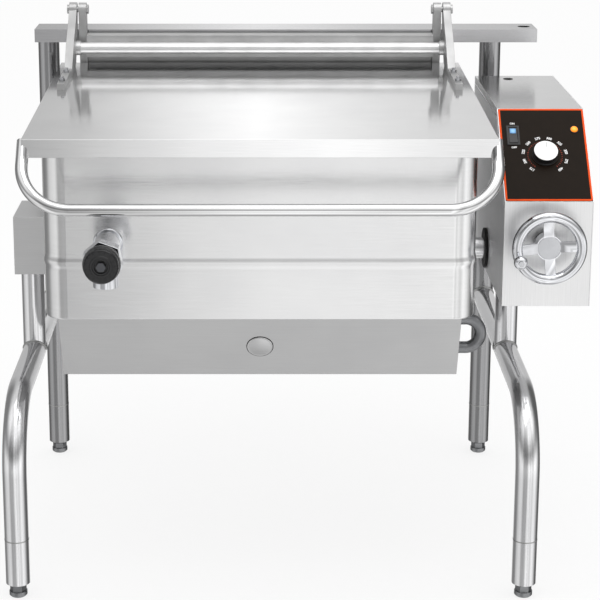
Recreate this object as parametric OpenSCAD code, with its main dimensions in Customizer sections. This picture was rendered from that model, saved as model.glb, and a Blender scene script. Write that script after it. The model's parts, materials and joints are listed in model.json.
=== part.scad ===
/* [Frame] */
// Outside diameter of the frame tubes
tube_d = 50.8; // [42:0.2:54]
// Wall of the frame tubes
tube_wall = 2.5; // [1.5:0.1:4]
// Distance of the left legs' middle from the pan's side
left_leg_gap = 68; // [66:1:98]
// Distance of the right legs' middle from the pan's side
right_leg_gap = 114; // [108:1:120]
// Distance from the front legs back to the rear posts
leg_base = 860; // [850:1:900]
// Height of the axis of the arch's level run
arch_z = 415; // [380:1:425]
// Bend radius of the arch at the tube's axis
arch_r = 150; // [100:1:170]
// Height at which the leg tubes end above the floor
leg_lift = 30; // [26:1:36]
// Diameter of a levelling foot
foot_d = 38; // [30:1:44]
// Diameter of a levelling foot's stem
foot_stem_d = 20; // [14:1:24]
// Depth of the rear cross beam, front to back
beam_depth = 100; // [80:1:100]
// Height of the rear cross beam
beam_h = 31; // [25:1:40]
// Height of the beam's underside above the floor
beam_z = 1055; // [1050:1:1080]
// Sheet thickness of the cross beam
beam_wall = 3; // [2:0.5:5]
// How far the beam runs past the left post's axis
beam_left_over = 28; // [27:1:32]
// How far the beam runs past the right post's axis
beam_right_over = 106; // [60:1:120]
// Radius of the tap hole in the beam's right end
tap_hole_r = 14.5; // [10:0.5:20]

/* [Tilt axis] */
// Height of the tilt axis above the floor
pivot_z = 652; // [648:1:660]
// Distance of the tilt axis behind the front legs
pivot_y = 410; // [400:1:420]
// Diameter of the trunnion shafts
trunnion_d = 48; // [40:1:50]
// Radial clearance of the trunnions in their bushes
run_clear = 0.05; // [0.02:0.01:0.1]
// Wall of a trunnion bush
bush_wall = 5; // [3:0.5:7]
// Width of a bearing block along the tilt axis
block_w = 44; // [36:1:48]
// Half of the height of a bearing block
block_half = 45; // [42:1:48]
// Module of the worm gear pair
gear_module = 2.5; // [2.4:0.1:2.5]
// Teeth that a full circle of the sector gear would have
gear_teeth = 60; // [56:1:60]
// Thickness of the sector gear
gear_t = 10; // [6:1:12]
// Pitch radius of the worm
worm_r = 14; // [13:0.5:15]
// Length of the worm
worm_len = 48; // [36:1:60]
// Diameter of the worm shaft
worm_shaft_d = 16; // [12:1:18]

/* [Pan] */
// Outside width of the pan's jacket
pan_w = 884; // [860:1:886]
// Outside depth of the pan's jacket, front to back
pan_depth = 745; // [720:1:745]
// Distance of the pan's front face behind the front legs
pan_front_y = 20; // [15:1:30]
// Height of the jacket's lower edge
pan_z = 600; // [595:1:606]
// Corner radius of the jacket
pan_corner_r = 50; // [40:1:60]
// Sheet thickness of the jacket
jacket_t = 2; // [1.5:0.5:3]
// Gap between the jacket and the inner pan
jacket_gap = 30; // [25:1:40]
// Height of the raised bead round the jacket
bead_z = 719; // [712:1:725]
// Height of the bead itself
bead_h = 27; // [20:1:30]
// How far the bead stands out
bead_out = 5; // [2:0.5:6]
// Depth of the inner pan
liner_depth = 250; // [200:1:260]
// Sheet thickness of the inner pan's walls
liner_t = 3; // [2:0.5:4]
// Thickness of the heated floor plate
floor_t = 16; // [10:1:20]
// Height of the heater housing's underside
housing_z = 450; // [445:1:480]
// How far the heater housing stands in from the jacket
housing_inset = 26; // [20:1:34]
// How far the housing's front leans back at its foot
housing_lean = 75; // [60:1:90]
// Diameter of the plug in the housing's front
plug_d = 54; // [40:1:60]

/* [Lid] */
// How far the lid stands out past each side of the pan
lid_over = 30; // [24:0.5:30]
// Depth of the lid, front to back
lid_depth = 805; // [795:1:806]
// Distance of the lid's front edge in front of the front legs
lid_front_y = 30; // [25:1:34]
// Height of the lid's top at its front edge
lid_z = 986; // [982:1:988]
// How much higher the lid's top is at its rear edge
lid_rise = 26; // [20:1:27]
// Depth of the lid's turned-down front flange
lid_flange = 37; // [32:1:40]
// Sheet thickness of the lid
lid_t = 2.5; // [2:0.5:3]
// Diameter of the lid handle's tube
handle_d = 25; // [20:1:25]
// Reach of the handle from the lid's corner to the bar's axis
handle_reach = 145; // [140:1:150]
// Lean of the handle forward from straight down
handle_lean = 43; // [35:1:50]
// Bend radius of the handle at the tube's axis
handle_bend_r = 100; // [60:1:110]
// Height of the lid's hinge axis above the floor
hinge_z = 1138; // [1132:1:1145]
// Drop from the hinge axis to the top of the hinge channel
channel_drop = 58; // [52:1:64]
// Distance of the lid's hinge axis behind the pan's rear face
hinge_back = 18; // [15:1:20]
// Distance of a hinge arm's middle inside the pan's side
arm_in = 1; // [0:0.5:4]
// Thickness of a hinge arm
arm_t = 18; // [12:1:19]
// Distance of a hinge bracket's middle inside the pan's side
bracket_in = 23; // [22:0.5:27]
// Diameter of the hinge pins
hinge_pin_d = 14; // [10:1:16]
// Diameter of the cross tube between the hinge arms
cross_tube_d = 26; // [20:1:28]

/* [Console] */
// Distance of the console's left face from the pan's side
console_gap = 64; // [60:1:70]
// Width of the console
console_w = 184; // [180:1:200]
// Distance of the console's front face behind the front legs
console_front_y = 115; // [100:1:125]
// Depth of the console, front to back
console_depth = 606; // [580:1:620]
// Height of the console's underside
console_z = 602; // [600:1:604]
// Height of the console's top
console_top_z = 989; // [980:1:1000]
// Height of the sloped panel's lower edge
panel_z = 826; // [820:1:840]
// How far the sloped panel leans back
panel_run = 177; // [160:1:190]
// Sheet thickness of the console
console_t = 2; // [1.5:0.5:3]
// Outside diameter of the handwheel
wheel_d = 154; // [144:1:160]
// Diameter of the handwheel's rim
wheel_rim_d = 22; // [16:1:24]
// Diameter of the handwheel's hub
wheel_hub_d = 53; // [44:1:54]
// Gap from the console's front to the rim's middle
wheel_gap = 56; // [50:1:66]
// Diameter of the thermostat dial
dial_d = 54; // [46:1:60]
// Width of the trunnion cover on the left
cover_w = 82; // [80:1:90]
// Depth of the trunnion cover, front to back
cover_depth = 160; // [150:1:180]
// Height of the trunnion cover
cover_h = 130; // [126:1:140]

/* [Draw-off valve] */
// Distance of the valve's axis inside the pan's left side
valve_in = 135; // [120:1:160]
// Height of the valve's axis
valve_z = 763; // [760:1:775]
// Outside diameter of the valve's body
valve_d = 54; // [48:1:58]
// Bore of the valve
valve_bore_d = 38; // [30:1:40]
// Distance of the knob's face in front of the pan
valve_reach = 190; // [180:1:200]
// Diameter of the valve's knob
valve_knob_d = 75; // [60:1:80]

/* [Hidden] */

// Overrun of a cutting shape past what it cuts
cut = 1;
// Gap that parts two bodies whose faces run side by side
part_gap = 0.4;
tube_r = tube_d / 2;
rear_y = leg_base;
left_x = -pan_w / 2 - left_leg_gap;
right_x = pan_w / 2 + right_leg_gap;
pan_cy = pan_front_y + pan_depth / 2;
pan_rear_y = pan_front_y + pan_depth;
lid_w = pan_w + 2 * lid_over;
hinge_y = pan_rear_y + hinge_back;
arm_x = pan_w / 2 - arm_in;
bracket_x = pan_w / 2 - bracket_in;
console_x = pan_w / 2 + console_gap;
beam_y0 = leg_base - beam_depth / 2;
beam_x0 = left_x - beam_left_over;
beam_x1 = right_x + beam_right_over;
trunnion_r = trunnion_d / 2;
bush_r = trunnion_r + run_clear + bush_wall;
lid_y0 = -lid_front_y;
lid_y1 = lid_y0 + lid_depth;
lid_slope = atan2(lid_rise, lid_depth);
// The lid closes on the front of the rim
rim_z = lid_z - lid_t + lid_rise * (pan_front_y - lid_y0) / lid_depth - part_gap;
console_x1 = console_x + console_w;
console_cx = console_x + console_w / 2;
console_y1 = console_front_y + console_depth;
panel_angle = atan2(console_top_z - panel_z, panel_run);
panel_len = sqrt(pow(console_top_z - panel_z, 2) + pow(panel_run, 2));
gear_r = gear_module * gear_teeth / 2;
tooth_add = 0.8 * gear_module;
tooth_ded = 1.04 * gear_module;
worm_lead = PI * gear_module;
worm_z = pivot_z + gear_r + worm_r;
// The wheel stands a little to the pan's side of the console's middle
gear_x = console_cx - 0.03 * wheel_d;
wheel_y = console_front_y - wheel_gap;
// The hub's rear end, its front end and the middle of the spokes' roots, behind the rim's middle
hub_back = 0.64 * wheel_gap;
hub_front = 0.07 * wheel_gap;
spoke_back = 0.25 * wheel_gap;
shaft_nose_y = wheel_y + (hub_back + hub_front) / 2;
upright_top = pivot_z - block_half;
cover_gap = 16;
cover_x1 = -pan_w / 2 - cover_gap;
cover_x0 = cover_x1 - cover_w;
cover_z0 = pivot_z - 0.31 * cover_h;
handle_dir = [0, -sin(handle_lean), -cos(handle_lean)];
bar_y = lid_y0 + handle_d / 2 - handle_reach * sin(handle_lean);
valve_x = pan_w / 2 - valve_in;
knob_t = 0.16 * valve_reach;
knob_y = pan_front_y - valve_reach;
valve_front_y = knob_y - 0.1 * knob_t;
// The origin lies on the floor under the middle of the overall box
origin_x = (cover_x0 + console_x1) / 2;
origin_y = (min(bar_y - handle_d / 2, valve_front_y) + rear_y + beam_depth / 2) / 2;

module place() { translate([-origin_x, -origin_y, 0]) children(); }

// A round bar along X from x0 to x1 at a height and depth
module bar_x(r, x0, x1, y, z, fn = 64)
    translate([x0, y, z]) rotate([0, 90, 0]) cylinder(r = r, h = x1 - x0, $fn = fn);

// A round bar along Y from y0 to y1
module bar_y(r, y0, y1, x, z, fn = 64)
    translate([x, y0, z]) rotate([-90, 0, 0]) cylinder(r = r, h = y1 - y0, $fn = fn);

// A rounded rectangle centred on X, standing from y0 to y1
module round_rect(w, y0, y1, r) {
    translate([-w / 2 + r, y0]) square([w - 2 * r, y1 - y0]);
    translate([-w / 2, y0 + r]) square([w, y1 - y0 - 2 * r]);
    for (sx = [-1, 1], y = [y0 + r, y1 - r]) translate([sx * (w / 2 - r), y]) circle(r = r, $fn = 64);
}

// A plate whose outline lies in the Y-Z plane
module plate_yz(x0, t) {
    translate([x0, 0, 0]) rotate([90, 0, 90]) linear_extrude(t) children();
}

// The front leg, its bend and the level run back, as a solid of radius r
module arch_path(x, r, over) {
    translate([x, 0, leg_lift - over]) cylinder(r = r, h = arch_z - arch_r - leg_lift + over, $fn = 64);
    translate([x, arch_r, arch_z - arch_r]) rotate([90, 0, -90])
        rotate_extrude(angle = 90, $fn = 96) translate([arch_r, 0]) circle(r = r, $fn = 64);
    bar_y(r, arch_r, rear_y, x, arch_z);
}

module side_arch(x) {
    color("silver") difference() {
        arch_path(x, tube_r, 0);
        arch_path(x, tube_r - tube_wall, cut);
        translate([x, rear_y, 0]) cylinder(r = tube_r, h = beam_z, $fn = 64);
    }
}

module rear_post(x) {
    color("silver") translate([x, rear_y, leg_lift]) difference() {
        cylinder(r = tube_r, h = beam_z - leg_lift, $fn = 64);
        translate([0, 0, -cut]) cylinder(r = tube_r - tube_wall, h = beam_z + cut, $fn = 64);
    }
}

// The short tube that stands on the arch and carries a bearing block
module upright(x) {
    color("silver") difference() {
        translate([x, pivot_y, arch_z]) cylinder(r = tube_r, h = upright_top - arch_z, $fn = 64);
        translate([x, pivot_y, arch_z - cut])
            cylinder(r = tube_r - tube_wall, h = upright_top - arch_z + 2 * cut, $fn = 64);
        bar_y(tube_r, 0, rear_y, x, arch_z);
    }
}

module cross_beam() {
    hole_x = beam_x1 - 1.8 * tap_hole_r;
    color("gainsboro") difference() {
        translate([beam_x0, beam_y0, beam_z]) cube([beam_x1 - beam_x0, beam_depth, beam_h]);
        translate([beam_x0 + beam_wall, beam_y0 + beam_wall, beam_z + beam_wall])
            cube([beam_x1 - beam_x0 - 2 * beam_wall, beam_depth - 2 * beam_wall, beam_h - 2 * beam_wall]);
        translate([hole_x, rear_y, beam_z + beam_h - beam_wall - cut])
            cylinder(r = tap_hole_r, h = beam_wall + 2 * cut, $fn = 64);
    }
}

foot_insert_h = 1.2 * leg_lift;
module foot_inserts() {
    color("dimgray") for (x = [left_x, right_x], y = [0, rear_y])
        translate([x, y, leg_lift]) difference() {
            cylinder(r = tube_r - tube_wall, h = foot_insert_h, $fn = 64);
            translate([0, 0, -cut]) cylinder(r = foot_stem_d / 2, h = foot_insert_h + 2 * cut, $fn = 48);
        }
}

// A levelling foot: a stem, a hexagon to turn it by, and a bevelled pad
module foot(x, y) {
    pad_h = 0.4 * leg_lift;
    hex_h = 0.45 * leg_lift;
    bevel = 0.12 * leg_lift;
    color("gray") translate([x, y, 0]) {
        cylinder(r1 = foot_d / 2 - bevel, r2 = foot_d / 2, h = bevel, $fn = 64);
        translate([0, 0, bevel]) cylinder(r = foot_d / 2, h = pad_h - bevel, $fn = 64);
        translate([0, 0, pad_h]) cylinder(r = 0.46 * foot_d, h = hex_h, $fn = 6);
        cylinder(r = foot_stem_d / 2, h = leg_lift + foot_insert_h, $fn = 48);
    }
}

// A block on top of an upright, bored for its bush
module bearing_block(x) {
    color("darkgray") difference() {
        union() {
            translate([x - block_w / 2, pivot_y - block_half, upright_top])
                cube([block_w, 2 * block_half, block_half]);
            bar_x(block_half, x - block_w / 2, x + block_w / 2, pivot_y, pivot_z);
        }
        bar_x(bush_r, x - block_w / 2 - cut, x + block_w / 2 + cut, pivot_y, pivot_z);
    }
}

module bush(x) {
    color("peru") difference() {
        bar_x(bush_r, x - block_w / 2, x + block_w / 2, pivot_y, pivot_z);
        bar_x(trunnion_r + run_clear, x - block_w / 2 - cut, x + block_w / 2 + cut, pivot_y, pivot_z);
    }
}

// The box over the left bearing, open to the pan for the shaft and below for the upright
cover_t = 2;
module trunnion_cover() {
    y0 = pivot_y - cover_depth / 2;
    color("silver") difference() {
        translate([cover_x0, y0, cover_z0]) cube([cover_w, cover_depth, cover_h]);
        translate([cover_x0 + cover_t, y0 + cover_t, cover_z0 + cover_t])
            cube([cover_w - 2 * cover_t, cover_depth - 2 * cover_t, cover_h - 2 * cover_t]);
        bar_x(trunnion_r + 4 * cover_t, cover_x1 - 2 * cover_t, cover_x1 + cut, pivot_y, pivot_z);
        translate([left_x, pivot_y, cover_z0 - cut]) cylinder(r = tube_r, h = cover_t + 2 * cut, $fn = 64);
        translate([left_x - block_w / 2, pivot_y - block_half, cover_z0 - cut])
            cube([block_w, 2 * block_half, cover_t + 2 * cut]);
    }
}

// A trunnion: a shaft with a flange that is bolted to the jacket's side
flange_t = 8;
module trunnion(side, reach) {
    x_in = side * pan_w / 2;
    x_out = side * reach;
    color("lightgray") {
        bar_x(trunnion_r, min(x_in, x_out), max(x_in, x_out), pivot_y, pivot_z);
        bar_x(1.6 * trunnion_r, min(x_in, x_in + side * flange_t), max(x_in, x_in + side * flange_t),
            pivot_y, pivot_z);
    }
}

// The black ring round the shaft where it enters the console
seal_t = 6;
module shaft_seal() {
    color("black") difference() {
        bar_x(block_half, console_x - seal_t, console_x, pivot_y, pivot_z);
        bar_x(trunnion_r + run_clear, console_x - seal_t - cut, console_x + cut, pivot_y, pivot_z);
    }
}

// Outline of the jacket, grown outwards by a size
module jacket_outline(grow) {
    round_rect(pan_w + 2 * grow, pan_front_y - grow, pan_rear_y + grow, pan_corner_r + grow);
}

// The jacket turns in below, where the heater housing is welded to it
module pan_jacket() {
    valve_hole_r = valve_bore_d / 2 + jacket_t;
    side = bead_h / 4;
    color("silver") difference() {
        union() {
            translate([0, 0, pan_z]) linear_extrude(rim_z - jacket_t - pan_z) jacket_outline(0);
            translate([0, 0, bead_z - bead_h / 2]) linear_extrude(bead_h) jacket_outline(bead_out / 2);
            translate([0, 0, bead_z - bead_h / 2 + side]) linear_extrude(bead_h - 2 * side)
                jacket_outline(bead_out);
        }
        translate([0, 0, pan_z + jacket_t]) linear_extrude(rim_z - pan_z) jacket_outline(-jacket_t);
        translate([-housing_w / 2 + housing_t, housing_y0 + housing_t, pan_z - cut])
            cube([housing_w - 2 * housing_t, housing_y1 - housing_y0 - 2 * housing_t, jacket_t + 2 * cut]);
        bar_y(valve_hole_r, pan_front_y - bead_out - cut, pan_front_y + jacket_t + cut, -valve_x, valve_z);
        bar_y(valve_d / 2 + part_gap, pan_front_y - bead_out - cut, pan_front_y, -valve_x, valve_z);
    }
}

// The inner pan, with a rim that turns out over the jacket's top edge
liner_in = jacket_t + jacket_gap;
module pan_liner() {
    color("gainsboro") difference() {
        union() {
            translate([0, 0, rim_z - liner_depth]) linear_extrude(liner_depth) jacket_outline(-liner_in);
            translate([0, 0, rim_z - jacket_t]) linear_extrude(jacket_t) jacket_outline(0);
        }
        translate([0, 0, rim_z - liner_depth - cut]) linear_extrude(liner_depth + 2 * cut)
            jacket_outline(-liner_in - liner_t);
        bar_y(valve_bore_d / 2 + jacket_t, pan_front_y, pan_front_y + liner_in + 2 * liner_t,
            -valve_x, valve_z);
    }
}

module pan_floor() {
    color("gainsboro") translate([0, 0, rim_z - liner_depth - floor_t]) linear_extrude(floor_t)
        jacket_outline(-liner_in);
}

// Six flat elements clamped under the floor plate
element_share = 0.09;
element_t = 10;
module heating_elements() {
    run = pan_depth - 5 * liner_in;
    step = (pan_w - 4 * liner_in) / 6;
    color("saddlebrown") for (i = [0:5])
        translate([(i - 2.5) * step - element_share * pan_w / 2, pan_cy - run / 2,
            rim_z - liner_depth - floor_t - element_t])
            cube([element_share * pan_w, run, element_t]);
}

// Side outline of the heater housing, in Y and Z
housing_y0 = pan_front_y + housing_inset;
housing_y1 = pan_rear_y - housing_inset;
module housing_side() {
    polygon([[housing_y0, pan_z], [housing_y0 + housing_lean, housing_z], [housing_y1, housing_z],
        [housing_y1, pan_z]]);
}

housing_t = 2;
housing_w = pan_w - 2 * housing_inset;
plug_z = housing_z + 0.49 * (pan_z - housing_z);
housing_angle = atan2(housing_lean, pan_z - housing_z);
plug_y = housing_y0 + housing_lean * (pan_z - plug_z) / (pan_z - housing_z);
module heater_housing() {
    color("darkgray") difference() {
        plate_yz(-housing_w / 2, housing_w) housing_side();
        plate_yz(-housing_w / 2 + housing_t, housing_w - 2 * housing_t) housing_room();
    }
}

// The housing's inside: open above, and closed below by its base
module housing_room() {
    grow = housing_lean / (pan_z - housing_z);
    polygon([[housing_y0 + housing_t - grow * cut, pan_z + cut],
        [housing_y0 + housing_lean + housing_t + grow * cut, housing_z - cut],
        [housing_y1 - housing_t, housing_z - cut], [housing_y1 - housing_t, pan_z + cut]]);
}

module housing_base() {
    gap = housing_t + part_gap;
    color("dimgray")
        translate([-housing_w / 2 + gap, housing_y0 + housing_lean + gap, housing_z])
            cube([housing_w - 2 * gap, housing_y1 - housing_y0 - housing_lean - 2 * gap, housing_t]);
}

module housing_plug() {
    color("silver") translate([0, plug_y, plug_z]) rotate([90 + housing_angle, 0, 0])
        cylinder(r = plug_d / 2, h = housing_t, $fn = 64);
}

// The wiring conduit that loops out of the housing's right side and back under it
conduit_r = 13;
conduit_y = pan_front_y + 0.31 * pan_depth;
conduit_z1 = pan_z - 0.44 * (pan_z - housing_z);
conduit_bend = 0.26 * (pan_z - housing_z) / 2 + conduit_r;
conduit_z0 = conduit_z1 - 2 * conduit_bend;
conduit_out = 0.035 * pan_w;
module heater_conduit() {
    x0 = housing_w / 2;
    color("gray") {
        bar_x(conduit_r, x0, x0 + conduit_out, conduit_y, conduit_z1, 48);
        bar_x(conduit_r, x0, x0 + conduit_out, conduit_y, conduit_z0, 48);
        translate([x0 + conduit_out, conduit_y, (conduit_z0 + conduit_z1) / 2]) rotate([90, 0, 0])
            rotate([0, 0, -90]) rotate_extrude(angle = 180, $fn = 96) translate([conduit_bend, 0])
                circle(r = conduit_r, $fn = 48);
    }
}

module conduit_fittings() {
    nut_t = 0.8 * conduit_r;
    color("silver") for (z = [conduit_z0, conduit_z1]) difference() {
        bar_x(1.45 * conduit_r, housing_w / 2, housing_w / 2 + nut_t, conduit_y, z, 6);
        bar_x(conduit_r, housing_w / 2 - cut, housing_w / 2 + nut_t + cut, conduit_y, z, 48);
    }
}

// The channel behind the lid that joins the two hinge brackets
channel_t = 3;
channel_front = hinge_y - 1.86 * hinge_pin_d;
channel_back = hinge_y + 1.07 * hinge_pin_d;
channel_top = hinge_z - channel_drop;
channel_half = bracket_x - arm_t / 2;
module hinge_channel() {
    low = hinge_z - 7.86 * hinge_pin_d;
    color("silver") {
        translate([-channel_half, channel_back, lid_z - 2 * lid_flange])
            cube([2 * channel_half, channel_t, channel_top - lid_z + 2 * lid_flange]);
        translate([-channel_half, channel_front, channel_top - channel_t])
            cube([2 * channel_half, channel_back - channel_front + channel_t, channel_t]);
        translate([-channel_half, channel_front, low])
            cube([2 * channel_half, channel_t, channel_top - low]);
    }
}

// A plate from the pan's rear wall up to the hinge pin
module hinge_bracket(side) {
    boss_r = 1.1 * hinge_pin_d;
    web0 = hinge_y + 0.2 * boss_r;
    foot_top = lid_z - 1.6 * lid_flange;
    color("lightgray") difference() {
        plate_yz(side * bracket_x - arm_t / 2, arm_t) {
            translate([hinge_y, hinge_z]) circle(r = boss_r, $fn = 64);
            polygon([[pan_rear_y, foot_top - 3 * boss_r], [pan_rear_y, foot_top], [web0, foot_top],
                [web0, lid_z], [hinge_y - boss_r, hinge_z], [hinge_y + boss_r, hinge_z],
                [channel_back + channel_t, hinge_z - 3 * boss_r],
                [channel_back + channel_t, foot_top - 1.5 * boss_r]]);
        }
        bar_x(hinge_pin_d / 2, side * bracket_x - arm_t, side * bracket_x + arm_t, hinge_y, hinge_z);
    }
}

// Each pin is held in the bracket and turns in the arm, with a head outside
pin_head_t = 5;
module hinge_pins() {
    inner = bracket_x - arm_t / 2 - pin_head_t;
    outer = arm_x + arm_t / 2 + part_gap;
    color("gray") for (side = [-1, 1]) {
        bar_x(hinge_pin_d / 2, side < 0 ? -outer : inner, side < 0 ? -inner : outer, hinge_y, hinge_z);
        bar_x(0.8 * hinge_pin_d, side < 0 ? -inner - pin_head_t : inner,
            side < 0 ? -inner : inner + pin_head_t, hinge_y, hinge_z, 6);
        bar_x(0.75 * hinge_pin_d, side < 0 ? -outer - pin_head_t : outer,
            side < 0 ? -outer : outer + pin_head_t, hinge_y, hinge_z, 48);
    }
}

// Side outline of the lid: a sloped top over a level lower edge, in Y and Z
module lid_side(t) {
    low = t == 0 ? lid_z - lid_flange : lid_z - lid_flange - cut;
    k = lid_rise / lid_depth;
    polygon([[lid_y0 + t, low], [lid_y0 + t, lid_z - t + k * t], [lid_y1 - t, lid_z + lid_rise - t - k * t],
        [lid_y1 - t, low]]);
}

// The rear flange stops above the rim, which it passes over as the lid opens
lid_rear_gap = 4;
module lid_shell() {
    low = lid_z - lid_flange - cut;
    color("gainsboro") difference() {
        plate_yz(-lid_w / 2, lid_w) lid_side(0);
        plate_yz(-lid_w / 2 + lid_t, lid_w - 2 * lid_t) lid_side(lid_t);
        translate([-lid_w / 2 + lid_t, lid_y1 - 2 * lid_t, low])
            cube([lid_w - 2 * lid_t, 2 * lid_t + cut, rim_z + lid_rear_gap - low]);
    }
}

// The full-width handle: two arms, two bends and a bar, in a plane that leans forward
handle_z = lid_z - 0.45 * lid_flange;
handle_tab_t = 10;
module lid_handle() {
    half = lid_w / 2 + handle_tab_t - handle_d / 2;
    start = -handle_d / 2;
    arm_len = handle_reach - handle_bend_r;
    color("silver") translate([0, lid_y0 + handle_d / 2, handle_z]) rotate([-handle_lean, 0, 0])
        difference() {
            union() {
                for (side = [-1, 1]) {
                    translate([side * half, 0, -arm_len])
                        cylinder(r = handle_d / 2, h = arm_len - start, $fn = 48);
                    translate([side * (half - handle_bend_r), 0, -arm_len]) rotate([90, 0, 0])
                        rotate([0, 0, side > 0 ? -90 : 180]) rotate_extrude(angle = 90, $fn = 96)
                            translate([handle_bend_r, 0]) circle(r = handle_d / 2, $fn = 48);
                }
                bar_x(handle_d / 2, -half + handle_bend_r, half - handle_bend_r, 0, -handle_reach, 48);
            }
            // The ends are cut flat where they lie against the lid's side flanges
            rotate([handle_lean, 0, 0]) translate([0, -handle_d / 2 - lid_y0, -handle_z]) lid_room();
        }
}

// The room of the lid, which the handle's ends are cut clear of
module lid_room() {
    translate([-lid_w / 2, lid_y0, lid_z - lid_flange]) cube([lid_w, lid_depth, lid_flange + lid_rise]);
}

// A plate from the hinge pin down to a long bolted foot that runs forward on the lid
arm_foot_len = 270;
arm_foot_t = 14;
arm_foot_w = 0.9 * arm_t;
cross_y = hinge_y - 1.85 * cross_tube_d;
cross_z = hinge_z - 3.27 * cross_tube_d;
module hinge_arm(side) {
    boss_r = 1.15 * hinge_pin_d;
    foot_y1 = cross_y - 0.5 * cross_tube_d;
    foot_y0 = foot_y1 - arm_foot_len;
    foot_z = lid_z + lid_rise * (foot_y0 - lid_y0) / lid_depth + run_clear;
    x0 = side * arm_x - arm_t / 2;
    color("lightgray") difference() {
        union() {
            plate_yz(x0, arm_t) {
                translate([hinge_y, hinge_z]) circle(r = boss_r, $fn = 64);
                translate([cross_y, cross_z]) circle(r = 0.75 * cross_tube_d, $fn = 64);
                polygon([[hinge_y - 0.9 * boss_r, hinge_z], [hinge_y + 0.9 * boss_r, hinge_z],
                    [hinge_y, hinge_z - 3 * boss_r], [cross_y + 0.7 * cross_tube_d, cross_z],
                    [foot_y1 + 0.3 * arm_foot_t,
                        foot_z + arm_foot_len * lid_rise / lid_depth + arm_foot_t / 2],
                    [foot_y1 - 0.38 * arm_foot_len,
                        foot_z + 0.62 * arm_foot_len * lid_rise / lid_depth + arm_foot_t / 2],
                    [cross_y - 2 * cross_tube_d, hinge_z - 3.9 * boss_r],
                    [hinge_y - 2.9 * boss_r, hinge_z - 1.7 * boss_r]]);
            }
            translate([side * arm_x, foot_y0, foot_z])
                rotate([lid_slope, 0, 0]) translate([-arm_foot_w / 2, 0, 0])
                    cube([arm_foot_w, arm_foot_len, arm_foot_t]);
        }
        bar_x(hinge_pin_d / 2 + run_clear, x0 - cut, x0 + arm_t + cut, hinge_y, hinge_z);
        bar_x(cross_tube_d / 2 - channel_t, x0 - cut, x0 + arm_t + cut, cross_y, cross_z);
    }
}

module cross_tube() {
    half = arm_x - arm_t / 2;
    color("silver") difference() {
        bar_x(cross_tube_d / 2, -half, half, cross_y, cross_z);
        bar_x(cross_tube_d / 2 - channel_t, -half - cut, half + cut, cross_y, cross_z);
    }
}

// Two bolts through each arm's foot
bolt_r = 7;
module arm_bolts() {
    foot_y0 = cross_y - 0.5 * cross_tube_d - arm_foot_len;
    foot_z = lid_z + lid_rise * (foot_y0 - lid_y0) / lid_depth + run_clear;
    color("gray") for (side = [-1, 1], along = [0.12, 0.49] * arm_foot_len)
        translate([side * arm_x, foot_y0, foot_z])
            rotate([lid_slope, 0, 0]) translate([0, along, arm_foot_t]) {
                cylinder(r = bolt_r, h = 0.8 * bolt_r, $fn = 6);
                cylinder(r = 0.55 * bolt_r, h = 1.5 * bolt_r, $fn = 32);
            }
}

// Side outline of the console, in Y and Z, drawn in by a wall
module console_side(t) {
    k = t * tan((90 - panel_angle) / 2);
    m = t * tan(panel_angle / 2);
    polygon([[console_front_y + t, console_z + t], [console_front_y + t, panel_z - k],
        [console_front_y + panel_run + m, console_top_z - t], [console_y1 - t, console_top_z - t],
        [console_y1 - t, console_z + t]]);
}

// Puts a shape on the sloped panel: x across, y up the slope, z outwards
module on_panel(x, y, z) {
    translate([console_cx, console_front_y, panel_z]) rotate([panel_angle, 0, 0]) translate([x, y, z])
        children();
}

dial_at = [0, 0.484] * panel_len;
switch_at = [-0.262, 0.70] * panel_len;
lamp_at = [0.279, 0.765] * panel_len;
dial_stem_r = 5;
dial_hole_r = 1.2 * dial_stem_r;
lamp_r = 8;
switch_size = [23, 46];
module console_shell() {
    color("silver") difference() {
        plate_yz(console_x, console_w - console_t) console_side(0);
        plate_yz(console_x + console_t, console_w) console_side(console_t);
        bar_x(trunnion_r + 4 * console_t, console_x - cut, console_x + console_t + cut, pivot_y, pivot_z);
        translate([right_x, pivot_y, console_z - cut])
            cylinder(r = tube_r, h = console_t + 2 * cut, $fn = 64);
        bar_y(worm_shaft_d / 2 + console_t, console_front_y - cut, console_front_y + console_t + cut,
            gear_x, worm_z);
        on_panel(dial_at[0], dial_at[1], -2 * console_t)
            cylinder(r = dial_hole_r, h = 4 * console_t, $fn = 48);
        on_panel(lamp_at[0], lamp_at[1], -2 * console_t)
            cylinder(r = lamp_r, h = 4 * console_t, $fn = 48);
        on_panel(switch_at[0] - switch_size[0] / 2, switch_at[1] - switch_size[1] / 2, -2 * console_t)
            cube([switch_size[0], switch_size[1], 4 * console_t]);
    }
}

module console_side_cover() {
    color("silver") plate_yz(console_x1 - console_t, console_t) console_side(0);
}

// The control plate, with its holes for the dial, the switch and the lamp
plate_t = 1.5;
plate_margin = 6;
module control_plate() {
    color("black") difference() {
        on_panel(-console_w / 2 + plate_margin, plate_margin, 0)
            cube([console_w - 2 * plate_margin, panel_len - 2 * plate_margin, plate_t]);
        on_panel(dial_at[0], dial_at[1], -cut) cylinder(r = dial_hole_r, h = plate_t + 2 * cut, $fn = 48);
        on_panel(lamp_at[0], lamp_at[1], -cut) cylinder(r = lamp_r, h = plate_t + 2 * cut, $fn = 48);
        on_panel(switch_at[0] - switch_size[0] / 2, switch_at[1] - switch_size[1] / 2, -cut)
            cube([switch_size[0], switch_size[1], plate_t + 2 * cut]);
    }
}

dial_h = 18;
module thermostat_dial() {
    color("white") on_panel(dial_at[0], dial_at[1], plate_t + part_gap) {
        cylinder(r1 = dial_d / 2, r2 = 0.46 * dial_d, h = dial_h, $fn = 96);
        translate([0, 0, -5 * console_t]) cylinder(r = dial_stem_r, h = 6 * console_t, $fn = 48);
    }
}

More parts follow.
